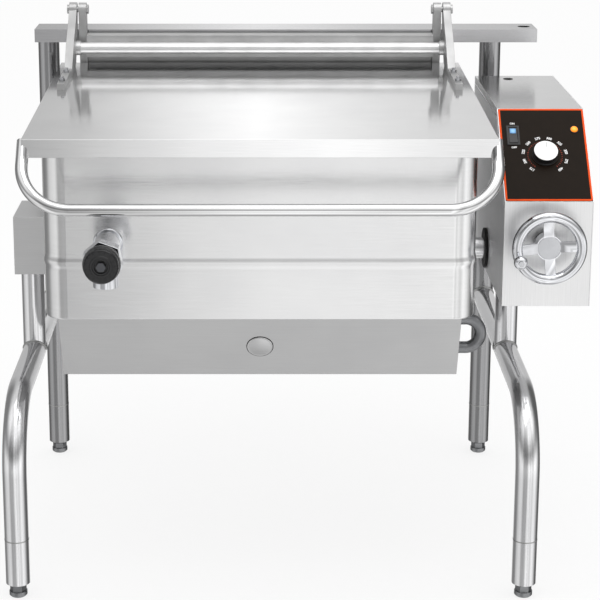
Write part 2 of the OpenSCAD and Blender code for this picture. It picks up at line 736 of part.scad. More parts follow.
thermostat_size = [52, 52, 34];
module thermostat_body() {
    color("dimgray") difference() {
        on_panel(dial_at[0] - thermostat_size[0] / 2, dial_at[1] - thermostat_size[1] / 2,
            -console_t - thermostat_size[2])
            cube(thermostat_size);
        on_panel(dial_at[0], dial_at[1], -console_t - thermostat_size[2] / 2)
            cylinder(r = dial_stem_r + run_clear, h = thermostat_size[2], $fn = 48);
    }
}

// The switch is a housing with an open mouth, in which the rocker tips on its own stub pins
switch_depth = 26;
switch_rim = 2;
rocker_pin_r = 2;
module switch_housing() {
    rim = switch_rim;
    w = switch_size[0];
    h = switch_size[1];
    color("black") on_panel(switch_at[0], switch_at[1], 0) difference() {
        union() {
            translate([-w / 2, -h / 2, -switch_depth]) cube([w, h, switch_depth + plate_t]);
            translate([-w / 2 - rim, -h / 2 - rim, plate_t]) cube([w + 2 * rim, h + 2 * rim, rim]);
        }
        translate([-w / 2 + rim, -h / 2 + rim, -switch_depth + rim])
            cube([w - 2 * rim, h - 2 * rim, 2 * switch_depth]);
        translate([0, 0, -rim]) rotate([0, 90, 0])
            cylinder(r = rocker_pin_r + run_clear, h = w - rim, center = true, $fn = 48);
    }
}

rocker_clear = 1.2;
module switch_rocker() {
    rim = switch_rim;
    half = switch_size[1] / 2 - rim - rocker_clear;
    w = switch_size[0] - 2 * rim - 2 * part_gap;
    color("deepskyblue") on_panel(switch_at[0], switch_at[1], -rim) rotate([0, 90, 0]) {
        translate([0, 0, -w / 2]) linear_extrude(w)
            polygon([[-3 * rim, -half], [-1.6 * rim, 0], [-2.5 * rim, half], [rim, 0.9 * half], [2 * rim, 0],
                [rim, -0.9 * half]]);
        cylinder(r = rocker_pin_r, h = switch_size[0] - 2 * rim + rim / 2, center = true, $fn = 48);
    }
}

module heat_lamp() {
    color("orange") on_panel(lamp_at[0], lamp_at[1], -2 * lamp_r) {
        cylinder(r = lamp_r - part_gap / 2, h = 2 * lamp_r + plate_t, $fn = 48);
        translate([0, 0, 2 * lamp_r + plate_t])
            cylinder(r1 = lamp_r, r2 = 0.6 * lamp_r, h = 0.5 * lamp_r, $fn = 48);
    }
}

// The sector gear on the right trunnion, with straight teeth from one end to the other
sector_from = -18;
sector_to = 108;
module sector_gear() {
    pitch = 360 / gear_teeth;
    root_r = gear_r - tooth_ded;
    tip_r = gear_r + tooth_add;
    tip_half = 0.14 * worm_lead;
    base_half = 0.24 * worm_lead;
    color("dimgray") difference() {
        plate_yz(gear_x - gear_t / 2, gear_t) translate([pivot_y, pivot_z]) {
            circle(r = 1.5 * trunnion_r, $fn = 96);
            polygon(concat([[0, 0]], [for (a = [sector_from:pitch:sector_to]) root_r * [cos(a), sin(a)]]));
            for (a = [sector_from + pitch:pitch:sector_to - pitch]) rotate(a)
                polygon([[root_r - tooth_ded, -base_half], [root_r, -base_half], [tip_r, -tip_half],
                    [tip_r, tip_half], [root_r, base_half], [root_r - tooth_ded, base_half]]);
        }
        bar_x(trunnion_r, gear_x - gear_t, gear_x + gear_t, pivot_y, pivot_z);
    }
}

// Radius of the worm's cross-section at a share of one turn
function worm_at(share) =
    let (s = abs(share - 0.5) * 2)
        s < 0.28 ? worm_r + tooth_add : s > 0.5 ? worm_r - tooth_ded
            : worm_r + tooth_add - (tooth_add + tooth_ded) * (s - 0.28) / 0.22;

// The worm: one right-hand thread, with the gear's tooth in its groove at rest
worm_steps = 20;
worm_slices = 10;
module worm() {
    turns = worm_len / worm_lead;
    profile = [for (i = [0:worm_steps - 1]) worm_at(i / worm_steps)
        * [cos(360 * i / worm_steps), sin(360 * i / worm_steps)]];
    color("darkgoldenrod") translate([gear_x, pivot_y, worm_z]) rotate([-90, 0, 0])
        difference() {
            // At the middle of its length the groove faces the gear, which lies at +Y here
            rotate(90 + worm_len / worm_lead * 180) translate([0, 0, -worm_len / 2])
                rotate(-360 * turns) linear_extrude(worm_len, twist = -360 * turns,
                    slices = round(worm_slices * turns)) polygon(profile);
            translate([0, 0, -worm_len]) cylinder(r = worm_shaft_d / 2, h = 2 * worm_len, $fn = 48);
        }
}

shaft_end_y = pivot_y + worm_len;
bearing_wall = 9;
bearing_t = 18;
module worm_shaft() {
    color("silver") bar_y(worm_shaft_d / 2, shaft_nose_y, shaft_end_y + bearing_t, gear_x, worm_z, 48);
}

// Two bearings that hang the worm shaft from the console's left wall
module worm_bearings() {
    r = worm_shaft_d / 2 + bearing_wall;
    color("gray") for (y = [pivot_y - worm_len - bearing_t, shaft_end_y - bearing_t]) difference() {
        union() {
            bar_y(r, y, y + bearing_t, gear_x, worm_z);
            translate([console_x + console_t, y, worm_z - bearing_wall])
                cube([gear_x - console_x - console_t, bearing_t, 2 * bearing_wall]);
        }
        bar_y(worm_shaft_d / 2 + run_clear, y - cut, y + bearing_t + cut, gear_x, worm_z, 48);
    }
}

rim_r = (wheel_d - wheel_rim_d) / 2;
module wheel_rim() {
    color("silver") difference() {
        translate([gear_x, wheel_y, worm_z]) rotate([90, 0, 0])
            rotate_extrude($fn = 128) translate([rim_r, 0]) circle(r = wheel_rim_d / 2, $fn = 48);
        at_grip() translate([0, 0, -wheel_rim_d / 2]) cylinder(r = grip_pin_r, h = wheel_rim_d, $fn = 48);
    }
}

// The hub and four spokes, which slope forward to the rim
spoke_turn = 4;
module wheel_spokes() {
    spoke_w = 0.4 * wheel_hub_d;
    spoke_t = 0.5 * wheel_rim_d;
    spoke_rise = atan2(spoke_back, rim_r);
    color("silver") translate([gear_x, wheel_y, worm_z]) rotate([90, 0, 0]) difference() {
        union() {
            translate([0, 0, -hub_back]) cylinder(r = wheel_hub_d / 2, h = hub_back - hub_front, $fn = 96);
            for (a = [0:90:270]) rotate([0, 0, a + spoke_turn]) translate([0, 0, -spoke_back])
                rotate([0, -spoke_rise, 0]) translate([0, -spoke_w / 2, -spoke_t / 2])
                    cube([rim_r / cos(spoke_rise), spoke_w, spoke_t]);
        }
        rotate_extrude($fn = 128) translate([rim_r, 0]) circle(r = wheel_rim_d / 2, $fn = 48);
        translate([0, 0, -hub_back - cut])
            cylinder(r = worm_shaft_d / 2, h = (hub_back - hub_front) / 2 + cut, $fn = 48);
    }
}

// The spinning grip on the rim, and the pin that it turns on
grip_angle = 200;
grip_r = 14.5;
grip_len = 32;
grip_pin_r = 4;
module at_grip() {
    translate([gear_x, wheel_y, worm_z]) rotate([90, 0, 0]) rotate([0, 0, grip_angle])
        translate([rim_r, 0, wheel_rim_d / 2 + part_gap]) children();
}

module wheel_grip() {
    color("silver") at_grip() difference() {
        union() {
            cylinder(r1 = 0.6 * grip_r, r2 = 0.75 * grip_r, h = grip_len - grip_r, $fn = 64);
            translate([0, 0, grip_len - grip_r]) sphere(r = grip_r, $fn = 64);
        }
        translate([0, 0, -cut]) cylinder(r = grip_pin_r + run_clear, h = grip_len + 2 * cut, $fn = 48);
        translate([0, 0, grip_len - grip_pin_r]) cylinder(r = 2 * grip_pin_r, h = grip_len, $fn = 48);
    }
}

module grip_pin() {
    color("gray") at_grip() {
        translate([0, 0, -wheel_rim_d / 2])
            cylinder(r = grip_pin_r, h = wheel_rim_d / 2 + grip_len - grip_pin_r + 2 * part_gap, $fn = 48);
        translate([0, 0, grip_len - grip_pin_r + part_gap])
            cylinder(r = 1.5 * grip_pin_r, h = 0.6 * grip_pin_r, $fn = 48);
    }
}

// The valve: a straight body out of the pan's front, with an outlet that points down
valve_body_len = 0.62 * valve_reach;
outlet_y = pan_front_y - 0.42 * valve_reach;
outlet_d = 0.96 * valve_d;
outlet_z = valve_z - 1.28 * valve_d;
outlet_socket = 0.55 * valve_d;
stem_r = 5;
module valve_body() {
    y_in = pan_front_y + liner_in + liner_t;
    color("silver") difference() {
        union() {
            bar_y(valve_bore_d / 2 + jacket_t, pan_front_y, y_in, -valve_x, valve_z);
            bar_y(valve_d / 2, pan_front_y - valve_body_len, pan_front_y, -valve_x, valve_z);
            translate([-valve_x, outlet_y, outlet_z])
                cylinder(r = outlet_d / 2, h = valve_z - outlet_z, $fn = 64);
        }
        bar_y(valve_bore_d / 2, pan_front_y - valve_body_len - cut, y_in + cut, -valve_x, valve_z);
        translate([-valve_x, outlet_y, outlet_z - cut])
            cylinder(r = outlet_d / 2 - jacket_t, h = outlet_socket + cut, $fn = 64);
        translate([-valve_x, outlet_y, outlet_z])
            cylinder(r = valve_bore_d / 2 - jacket_t, h = valve_z - outlet_z, $fn = 64);
    }
}

// The hexagon bonnet that closes the valve's front and guides the stem
bonnet_len = 0.16 * valve_reach;
bonnet_y1 = pan_front_y - valve_body_len;
bonnet_turn = 20;
module valve_bonnet() {
    color("silver") difference() {
        union() {
            translate([-valve_x, bonnet_y1, valve_z]) rotate([90, 0, 0]) rotate([0, 0, -bonnet_turn])
                cylinder(r = 0.76 * valve_d, h = bonnet_len, $fn = 6);
            bar_y(valve_bore_d / 2, bonnet_y1, bonnet_y1 + bonnet_len / 2, -valve_x, valve_z);
        }
        bar_y(stem_r + run_clear, bonnet_y1 - bonnet_len - cut, bonnet_y1 + bonnet_len,
            -valve_x, valve_z, 48);
    }
}

// The stem, with the disc that closes the pan's outlet
module valve_stem() {
    seat_y = outlet_y + outlet_d / 2;
    color("silver") {
        bar_y(stem_r, knob_y, seat_y + bonnet_len / 4, -valve_x, valve_z, 48);
        bar_y(valve_bore_d / 2 - part_gap, seat_y, seat_y + bonnet_len / 3, -valve_x, valve_z);
    }
}

module valve_knob() {
    color("black") difference() {
        union() {
            bar_y(valve_knob_d / 2, knob_y, knob_y + knob_t, -valve_x, valve_z, 96);
            bar_y(0.3 * valve_knob_d, knob_y, knob_y + 1.3 * knob_t, -valve_x, valve_z);
        }
        bar_y(0.17 * valve_knob_d, knob_y - cut, knob_y + 0.3 * knob_t, -valve_x, valve_z);
        bar_y(stem_r + run_clear, knob_y - cut, knob_y + 2 * knob_t, -valve_x, valve_z, 48);
    }
}

module valve_nut() {
    color("silver") difference() {
        bar_y(2 * stem_r, valve_front_y, knob_y + 0.3 * knob_t - part_gap, -valve_x, valve_z, 6);
        bar_y(stem_r, knob_y - cut, knob_y + knob_t, -valve_x, valve_z, 48);
    }
}

shaft_over = 4;
left_reach = block_w / 2 + shaft_over - left_x;
right_reach = gear_x + gear_t / 2 + shaft_over;
place() side_arch(left_x);  // side_arch_left
place() side_arch(right_x);  // side_arch_right
place() rear_post(left_x);  // rear_post_left
place() rear_post(right_x);  // rear_post_right
place() upright(left_x);  // upright_left
place() upright(right_x);  // upright_right
place() cross_beam();
place() foot_inserts();
place() foot(left_x, 0);  // foot_front_left
place() foot(right_x, 0);  // foot_front_right
place() foot(left_x, rear_y);  // foot_rear_left
place() foot(right_x, rear_y);  // foot_rear_right
place() bearing_block(left_x);  // bearing_block_left
place() bearing_block(right_x);  // bearing_block_right
place() bush(left_x);  // bush_left
place() bush(right_x);  // bush_right
place() trunnion_cover();
place() trunnion(-1, left_reach);  // trunnion_left
place() trunnion(1, right_reach);  // trunnion_right
place() shaft_seal();
place() pan_jacket();
place() pan_liner();
place() pan_floor();
place() heating_elements();
place() heater_housing();
place() housing_base();
place() housing_plug();
place() heater_conduit();
place() conduit_fittings();
place() hinge_channel();
place() hinge_bracket(-1);  // hinge_bracket_left
place() hinge_bracket(1);  // hinge_bracket_right
place() hinge_pins();
place() lid_shell();
place() lid_handle();
place() hinge_arm(-1);  // hinge_arm_left
place() hinge_arm(1);  // hinge_arm_right
place() cross_tube();
place() arm_bolts();
place() console_shell();
place() console_side_cover();
place() control_plate();
place() thermostat_dial();
place() thermostat_body();
place() switch_housing();
place() switch_rocker();
place() heat_lamp();
place() sector_gear();
place() worm();
place() worm_shaft();
place() worm_bearings();
place() wheel_rim();
place() wheel_spokes();
place() wheel_grip();
place() grip_pin();
place() valve_body();
place() valve_bonnet();
place() valve_stem();
place() valve_knob();
place() valve_nut();
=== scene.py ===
"""Looks of a stainless tilting bratt pan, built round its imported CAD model.

Every size is in metres in the shared frame: the origin lies on the floor under
the middle of the overall box, +X runs to the control console, the cook stands
on the -Y side and +Z is up.
"""
from __future__ import annotations

import json
import logging
import math
from dataclasses import dataclass
from enum import Enum
from typing import Any, Iterable, Sequence

import bmesh
import bpy
from mathutils import Matrix, Vector

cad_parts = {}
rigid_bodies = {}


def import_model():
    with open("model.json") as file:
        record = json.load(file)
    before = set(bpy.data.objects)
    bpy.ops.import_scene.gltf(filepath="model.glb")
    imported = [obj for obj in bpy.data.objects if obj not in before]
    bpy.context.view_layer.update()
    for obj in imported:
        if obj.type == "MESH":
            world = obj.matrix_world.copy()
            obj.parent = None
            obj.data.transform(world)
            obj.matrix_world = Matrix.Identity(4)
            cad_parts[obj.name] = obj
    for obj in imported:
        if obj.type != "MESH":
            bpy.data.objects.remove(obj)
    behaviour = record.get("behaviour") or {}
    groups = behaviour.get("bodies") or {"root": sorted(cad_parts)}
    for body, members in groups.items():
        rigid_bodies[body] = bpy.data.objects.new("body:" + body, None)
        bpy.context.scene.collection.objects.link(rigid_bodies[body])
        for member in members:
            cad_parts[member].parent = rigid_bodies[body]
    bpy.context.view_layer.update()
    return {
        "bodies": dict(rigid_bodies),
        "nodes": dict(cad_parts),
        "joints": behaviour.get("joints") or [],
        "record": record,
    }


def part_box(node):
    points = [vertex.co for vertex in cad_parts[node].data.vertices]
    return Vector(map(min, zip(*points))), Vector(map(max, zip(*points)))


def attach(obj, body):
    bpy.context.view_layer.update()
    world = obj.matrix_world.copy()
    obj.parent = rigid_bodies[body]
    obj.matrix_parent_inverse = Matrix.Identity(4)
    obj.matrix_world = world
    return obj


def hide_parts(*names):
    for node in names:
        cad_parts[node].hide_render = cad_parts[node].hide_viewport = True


LOG = logging.getLogger("bratt_pan")
MM = 0.001
SIDES = ("left", "right")
# The angle in degrees from which an edge counts as sharp
SHARP_ANGLE = 38.0
# Turns what is made along Z to point at the cook
FORWARD = Matrix.Rotation(math.pi / 2, 4, "X")
Colour = tuple[float, float, float, float]


class Axis(Enum):
    """A direction of the frame."""

    X = (1.0, 0.0, 0.0)
    Z = (0.0, 0.0, 1.0)


class Body(Enum):
    """The bodies that move on their own."""

    STAND = "stand"
    PAN = "pan"
    LID = "lid"
    WHEEL = "handwheel"
    GRIP = "grip"
    DIAL = "dial"
    ROCKER = "rocker"
    STEM = "valve_stem"
    KNOB = "valve_knob"


def linear(code: str) -> Colour:
    """Turns an sRGB hex colour into the linear one that a shader takes.

    Args:
        code: Six hex digits after a hash.

    Returns:
        Red, green, blue and an alpha of 1.
    """
    parts = [int(code[i:i + 2], 16) / 255 for i in (1, 3, 5)]
    flat = [p / 12.92 if p <= 0.04045 else ((p + 0.055) / 1.055) ** 2.4 for p in parts]
    return flat[0], flat[1], flat[2], 1.0


def per_metre(size_mm: float) -> float:
    """Returns the scale at which a pattern's marks have this size in millimetres."""
    return 1 / (size_mm * MM)


def add(tree: bpy.types.NodeTree, kind: str, inputs: dict[str | int, Any] | None = None,
        **settings: Any) -> bpy.types.Node:
    """Adds a node, with its settings and what feeds it.

    Args:
        tree: The tree that gets the node.
        kind: Blender's name of the node type.
        inputs: A value or another node's output for each input socket.
        settings: Properties of the node itself.

    Returns:
        The new node.
    """
    node = tree.nodes.new(kind)
    for name, value in settings.items():
        setattr(node, name, value)
    for socket, value in (inputs or {}).items():
        if isinstance(value, bpy.types.NodeSocket):
            tree.links.new(value, node.inputs[socket])
        else:
            node.inputs[socket].default_value = value
    return node


def ramp(tree: bpy.types.NodeTree, source: bpy.types.NodeSocket,
         stops: Sequence[tuple[float, Colour]]) -> bpy.types.NodeSocket:
    """Colours a grey pattern.

    Args:
        tree: The tree that gets the ramp.
        source: The grey pattern.
        stops: Place and colour of each stop.

    Returns:
        The ramp's colour output.
    """
    node = add(tree, "ShaderNodeValToRGB", {"Fac": source})
    elements = node.color_ramp.elements
    while len(elements) < len(stops):
        elements.new(0.5)
    for element, (place, colour) in zip(elements, stops):
        element.position, element.color = place, colour
    return node.outputs["Color"]


def tinted(code: str, share: float) -> Colour:
    """Returns a hex colour with its brightness changed by a share."""
    base = linear(code)
    return base[0] * (1 + share), base[1] * (1 + share), base[2] * (1 + share), 1.0


@dataclass(frozen=True)
class Finish:
    """What every finish has: a name, a colour and a gloss.

    Attributes:
        name: The material's common name and how it was worked.
        tone: Base colour in sRGB hex.
        roughness: Middle of the surface's roughness.
    """

    name: str
    tone: str
    roughness: float

    def start(self) -> tuple[bpy.types.Material, bpy.types.NodeTree, bpy.types.Node, bpy.types.NodeSocket]:
        """Makes the empty material.

        Returns:
            The material, its tree, its shader and the object coordinates.
        """
        material = bpy.data.materials.new(self.name)
        material.use_nodes = True
        tree = material.node_tree
        tree.nodes.clear()
        shader = add(tree, "ShaderNodeBsdfPrincipled",
                     {"Base Color": linear(self.tone), "Roughness": self.roughness})
        add(tree, "ShaderNodeOutputMaterial", {"Surface": shader.outputs["BSDF"]})
        coords = add(tree, "ShaderNodeTexCoord").outputs["Object"]
        return material, tree, shader, coords

    def make(self) -> bpy.types.Material:
        """Returns the finished material."""
        raise NotImplementedError


@dataclass(frozen=True)
class BrushedSteel(Finish):
    """Stainless sheet or tube with the straight grain that an abrasive belt leaves.

    Attributes:
        grain: The way the belt ran.
        width_mm: Width of a grain line. Real ones are about 0.2 mm, too fine for a
            2 mm pixel, so a coarser second layer is drawn that the eye can find.
        length_mm: Length of a grain line.
        contrast: How far the tone swings from line to line.
        bump: Strength of the grain's relief.
        stretch: How far the grain draws a reflection out across itself.
        mark_mm: Size of the faint clouds that hands and polish leave.
        wraps: Whether the grain turns level round upright corners, as on a folded box.
    """

    grain: Axis = Axis.X
    width_mm: float = 1.6
    length_mm: float = 90.0
    contrast: float = 0.05
    bump: float = 0.05
    stretch: float = 0.6
    mark_mm: float = 154.0
    wraps: bool = False

    def make(self) -> bpy.types.Material:
        """Returns the brushed material: streaks in tone, gloss and relief, under faint hand marks."""
        material, tree, shader, coords = self.start()
        along = (1, 1, 0) if self.wraps else self.grain.value
        scale = [per_metre(self.length_mm if a else self.width_mm) for a in along]
        stretched = add(tree, "ShaderNodeMapping", {"Vector": coords, "Scale": scale}).outputs["Vector"]
        lines = add(tree, "ShaderNodeTexNoise", {"Vector": stretched, "Scale": 1.0, "Detail": 3.0,
                                                 "Roughness": 0.62}).outputs["Fac"]
        marks = add(tree, "ShaderNodeTexNoise", {"Vector": coords, "Scale": per_metre(self.mark_mm),
                                                 "Detail": 2.0}).outputs["Fac"]
        tone = ramp(tree, lines, [(0.3, tinted(self.tone, -self.contrast)),
                                  (0.7, tinted(self.tone, self.contrast))])
        cloud = ramp(tree, marks, [(0.3, (0.94, 0.94, 0.945, 1)), (0.7, (1, 1, 1, 1))])
        mixed = add(tree, "ShaderNodeMix", {0: 1.0, 6: tone, 7: cloud}, data_type="RGBA",
                    blend_type="MULTIPLY")
        tree.links.new(mixed.outputs[2], shader.inputs["Base Color"])
        gloss = add(tree, "ShaderNodeMapRange", {"Value": lines, "From Min": 0.25, "From Max": 0.75,
                                                 "To Min": self.roughness * 0.8,
                                                 "To Max": self.roughness * 1.2})
        tree.links.new(gloss.outputs["Result"], shader.inputs["Roughness"])
        relief = add(tree, "ShaderNodeBump", {"Strength": self.bump, "Distance": MM, "Height": lines})
        tree.links.new(relief.outputs["Normal"], shader.inputs["Normal"])
        way = add(tree, "ShaderNodeCombineXYZ", dict(enumerate(self.grain.value))).outputs["Vector"]
        if self.wraps:
            outward = add(tree, "ShaderNodeNewGeometry").outputs["Normal"]
            level = add(tree, "ShaderNodeVectorMath", {0: Axis.Z.value, 1: outward},
                        operation="CROSS_PRODUCT").outputs["Vector"]
            # A level face has no such direction, so a hundredth of the belt's own is added for it
            way = add(tree, "ShaderNodeVectorMath", {0: way, 1: (0.01, 0.01, 0.01), 2: level},
                      operation="MULTIPLY_ADD").outputs["Vector"]
        tree.links.new(way, shader.inputs["Tangent"])
        shader.inputs["Anisotropic"].default_value = self.stretch
        # A quarter turn, as reflections are drawn out across the grain
        shader.inputs["Anisotropic Rotation"].default_value = 0.25
        shader.inputs["Metallic"].default_value = 1.0
        return material


@dataclass(frozen=True)
class BlastedSteel(Finish):
    """Metal that was cast, plated or blasted: an even, fine-grained satin without direction.

    Attributes:
        grit_mm: Size of the relief's grains, coarser than the real ones so that it shows.
        patch_mm: Size of the mottle's patches.
        bump: Strength of the relief.
    """

    grit_mm: float = 1.2
    patch_mm: float = 45.5
    bump: float = 0.08

    def make(self) -> bpy.types.Material:
        """Returns the satin material, with a pebbled relief and a slight mottle."""
        material, tree, shader, coords = self.start()
        grit = add(tree, "ShaderNodeTexNoise", {"Vector": coords, "Scale": per_metre(self.grit_mm),
                                                "Detail": 2.0}).outputs["Fac"]
        patch = add(tree, "ShaderNodeTexNoise", {"Vector": coords, "Scale": per_metre(self.patch_mm),
                                                 "Detail": 3.0}).outputs["Fac"]
        tree.links.new(ramp(tree, patch, [(0.3, tinted(self.tone, -0.08)), (0.7, tinted(self.tone, 0.06))]),
                       shader.inputs["Base Color"])
        relief = add(tree, "ShaderNodeBump", {"Strength": self.bump, "Distance": 0.5 * MM, "Height": grit})
        tree.links.new(relief.outputs["Normal"], shader.inputs["Normal"])
        shader.inputs["Metallic"].default_value = 1.0
        return material


@dataclass(frozen=True)
class Plating(Finish):
    """Chromium plate over polished brass: a near mirror with faint wiping marks.

    Attributes:
        smear: How much rougher the marks are than the clean plate.
        mark_mm: Size of the marks.
    """

    smear: float = 0.05
    mark_mm: float = 22.2

    def make(self) -> bpy.types.Material:
        """Returns the plated material, whose gloss drifts a little where hands go."""
        material, tree, shader, coords = self.start()
        marks = add(tree, "ShaderNodeTexNoise", {"Vector": coords, "Scale": per_metre(self.mark_mm),
                                                 "Detail": 4.0}).outputs["Fac"]
        gloss = add(tree, "ShaderNodeMapRange", {"Value": marks, "From Min": 0.35, "From Max": 0.75,
                                                 "To Min": self.roughness,
                                                 "To Max": self.roughness + self.smear})
        tree.links.new(gloss.outputs["Result"], shader.inputs["Roughness"])
        tree.links.new(ramp(tree, marks, [(0.3, tinted(self.tone, -0.04)), (0.7, linear(self.tone))]),
                       shader.inputs["Base Color"])
        shader.inputs["Metallic"].default_value = 1.0
        return material


@dataclass(frozen=True)
class Moulding(Finish):
    """Moulded plastic or rubber, or printed film, with the fine pebble of its mould.

    Attributes:
        grit_mm: Size of the pebble, coarser than the real one so that it shows.
        cloud_mm: Size of the faint clouds in its colour.
        bump: Strength of the pebble.
        coat: Weight of a clear glaze.
        shine: How strongly it mirrors, where 0.5 is plain plastic.
    """

    grit_mm: float = 0.8
    cloud_mm: float = 16.7
    bump: float = 0.1
    coat: float = 0.0
    shine: float = 0.5

    def make(self) -> bpy.types.Material:
        """Returns the moulded material."""
        material, tree, shader, coords = self.start()
        grit = add(tree, "ShaderNodeTexNoise", {"Vector": coords, "Scale": per_metre(self.grit_mm),
                                                "Detail": 1.0}).outputs["Fac"]
        cloud = add(tree, "ShaderNodeTexNoise", {"Vector": coords, "Scale": per_metre(self.cloud_mm),
                                                 "Detail": 2.0}).outputs["Fac"]
        tree.links.new(ramp(tree, cloud, [(0.3, tinted(self.tone, -0.06)), (0.7, tinted(self.tone, 0.08))]),
                       shader.inputs["Base Color"])
        relief = add(tree, "ShaderNodeBump", {"Strength": self.bump, "Distance": 0.3 * MM, "Height": grit})
        tree.links.new(relief.outputs["Normal"], shader.inputs["Normal"])
        shader.inputs["Coat Weight"].default_value = self.coat
        shader.inputs["Specular IOR Level"].default_value = self.shine
        return material


@dataclass(frozen=True)
class LitLens(Finish):
    """A coloured polycarbonate lens with a lamp behind it.

    Attributes:
        glow: Strength of the lamp's light, where 1 is the colour as written.
        edge: Colour at the rim in sRGB hex.
        centre: Where the lamp is, in metres.
        radius: Distance in metres from the lamp to the rim's colour.
    """

    glow: float = 1.0
    edge: str = "#000000"
    centre: tuple[float, float, float] = (0.0, 0.0, 0.0)
    radius: float = 0.008

    def make(self) -> bpy.types.Material:
        """Returns the lens, brightest over its lamp and deeper in colour towards its rim."""
        material, tree, shader, coords = self.start()
        off = add(tree, "ShaderNodeVectorMath", {0: coords, 1: self.centre},
                  operation="DISTANCE").outputs["Value"]
        near = add(tree, "ShaderNodeMapRange", {"Value": off, "From Min": 0.0, "From Max": self.radius,
                                                "To Min": 0.0, "To Max": 1.0}).outputs["Result"]
        colour = ramp(tree, near, [(0.25, linear(self.tone)), (1.0, linear(self.edge))])
        tree.links.new(colour, shader.inputs["Base Color"])
        tree.links.new(colour, shader.inputs["Emission Color"])
        shader.inputs["Emission Strength"].default_value = self.glow
        shader.inputs["Coat Weight"].default_value = 0.2
        return material


class Finishes:
    """All the finishes of the pan, made once and handed out by name."""

    def __init__(self) -> None:
        """Makes each material."""
        # Belt-ground stainless: bright, with grain lines that draw reflections into tall bands
        self.sheet = BrushedSteel("stainless sheet, belt ground level", "#e1e1e1", 0.22, Axis.X,
                                  contrast=0.04, bump=0.04, stretch=0.65, wraps=True).make()
        # A finer grind, so the lid mirrors its hinges and the backdrop almost sharply
        self.lid_sheet = BrushedSteel("stainless lid sheet, finely ground along X", "#e6e6e6", 0.1, Axis.X,
                                      contrast=0.03, bump=0.015, stretch=0.3).make()
        # The console was ground upright with a coarser belt, so it mirrors the wheel only as a faint cloud
        self.upright_sheet = BrushedSteel("stainless console sheet, ground along Z", "#f4f4f4", 0.42, Axis.Z,
                                          stretch=0.4).make()
        # Its top was ground finer, so it still shows the beam and the tube behind it
        self.top_sheet = BrushedSteel("stainless console top, ground along X", "#dadada", 0.16, Axis.X,
                                      stretch=0.3, bump=0.02).make()
        # Dull-ground sheet under the pan: greyer and blurrier than the rest
        self.panel_sheet = BrushedSteel("stainless housing sheet, dull ground", "#cccccc", 0.36, Axis.X,
                                        contrast=0.03, wraps=True).make()
        # Polished tube: crisp dark and pale stripes along its length
        self.tube = BrushedSteel("stainless tube, ground along Z", "#e4e4e5", 0.17, Axis.Z, width_mm=2.2,
                                 stretch=0.2).make()
        # The rear posts: the same tube, its tone painted darker for the shade they stand in behind and under
        # the pan
        self.post = BrushedSteel("stainless tube, dull ground along Z", "#a2a2a3", 0.2, Axis.Z, width_mm=2.2,
                                 stretch=0.2).make()
        # The lid's handle was buffed after grinding: the sharpest mirror of all the tubes
        self.bar = BrushedSteel("stainless handle tube, polished along X", "#e0e0e0", 0.09, Axis.X,
                                contrast=0.02, bump=0.02, stretch=0.2).make()
        # The beam is plain ground sheet, a little greyer than the pan
        self.beam = BrushedSteel("stainless beam, ground along X", "#bcbcbd", 0.2, Axis.X).make()
        # Blasted bar and plate: an even pale satin that keeps only broad lights and darks
        self.satin = BlastedSteel("stainless plate, blasted", "#c4c4c4", 0.45).make()
        # The cross tube: the same blasted satin, its tone painted paler for the light that falls on it
        self.pale = BlastedSteel("stainless bar, blasted, painted paler for light", "#f0f0f0", 0.42).make()
        # Zinc plate that has dulled: mid grey, weakly shiny
        self.dull = BlastedSteel("zinc plated steel, dulled", "#8e8f91", 0.40).make()
        # Oiled iron inside the console: near black with a soft sheen
        self.dark = BlastedSteel("grey cast iron, oiled", "#58595b", 0.48, bump=0.2).make()
        # The knob's chrome nut, its tone painted dark for the dark reflections in the knob's sunk middle: a
        # dark, weak mirror
        self.oxide = BlastedSteel("chrome nut, painted dark for its dark reflections", "#5c5d60", 0.3).make()
        # Brushed weld: greyer and rougher than the tube it joins
        self.weld = BlastedSteel("stainless weld, brushed after welding", "#a9a9a8", 0.38, bump=0.4).make()
        # Turned bronze: the one warm metal, seen only at the bearings
        self.bronze = BlastedSteel("bearing bronze, turned", "#b08443", 0.34).make()
        # Chromium plate: a mirror, so its look is all white studio and dark gaps
        self.chrome = Plating("chromium plate on brass", "#dadbde", 0.03).make()
        # The same plate over a turned face: milky and greyer, as on the wheel's hub
        self.hub = BlastedSteel("chromium plate, satin face", "#c0c1c4", 0.24, bump=0.15).make()
        # Phenolic and nylon mouldings: black with a soft highlight
        self.black = Moulding("black phenolic, moulded", "#161616", 0.36).make()
        self.knob = Moulding("black phenolic, glossy", "#1b1b1c", 0.26, bump=0.04).make()
        # White urea resin: clean white with a clear glaze
        self.white = Moulding("white urea resin, moulded", "#fbfbfa", 0.32, bump=0.03, coat=0.3).make()
        # Nitrile rubber: the flattest black here
        self.rubber = Moulding("black nitrile rubber", "#0e0e0e", 0.62).make()
        # Printed overlay film: warm near-black with a faint sheen, and its inks
        self.film = Moulding("black polyester overlay film", "#1d150e", 0.5, bump=0.04, shine=0.1).make()
        self.orange = Moulding("orange screen print", "#ee5212", 0.5, bump=0.02, shine=0.15).make()
        self.print = Moulding("white screen print", "#ffffff", 0.5, bump=0.02, shine=0.15).make()
        self.tick = Moulding("red screen print", "#d04a28", 0.5, bump=0.02).make()
        # Element sheath: nickel steel browned by heat
        self.sheath = BlastedSteel("element sheath, heat browned", "#5a4a3e", 0.5).make()


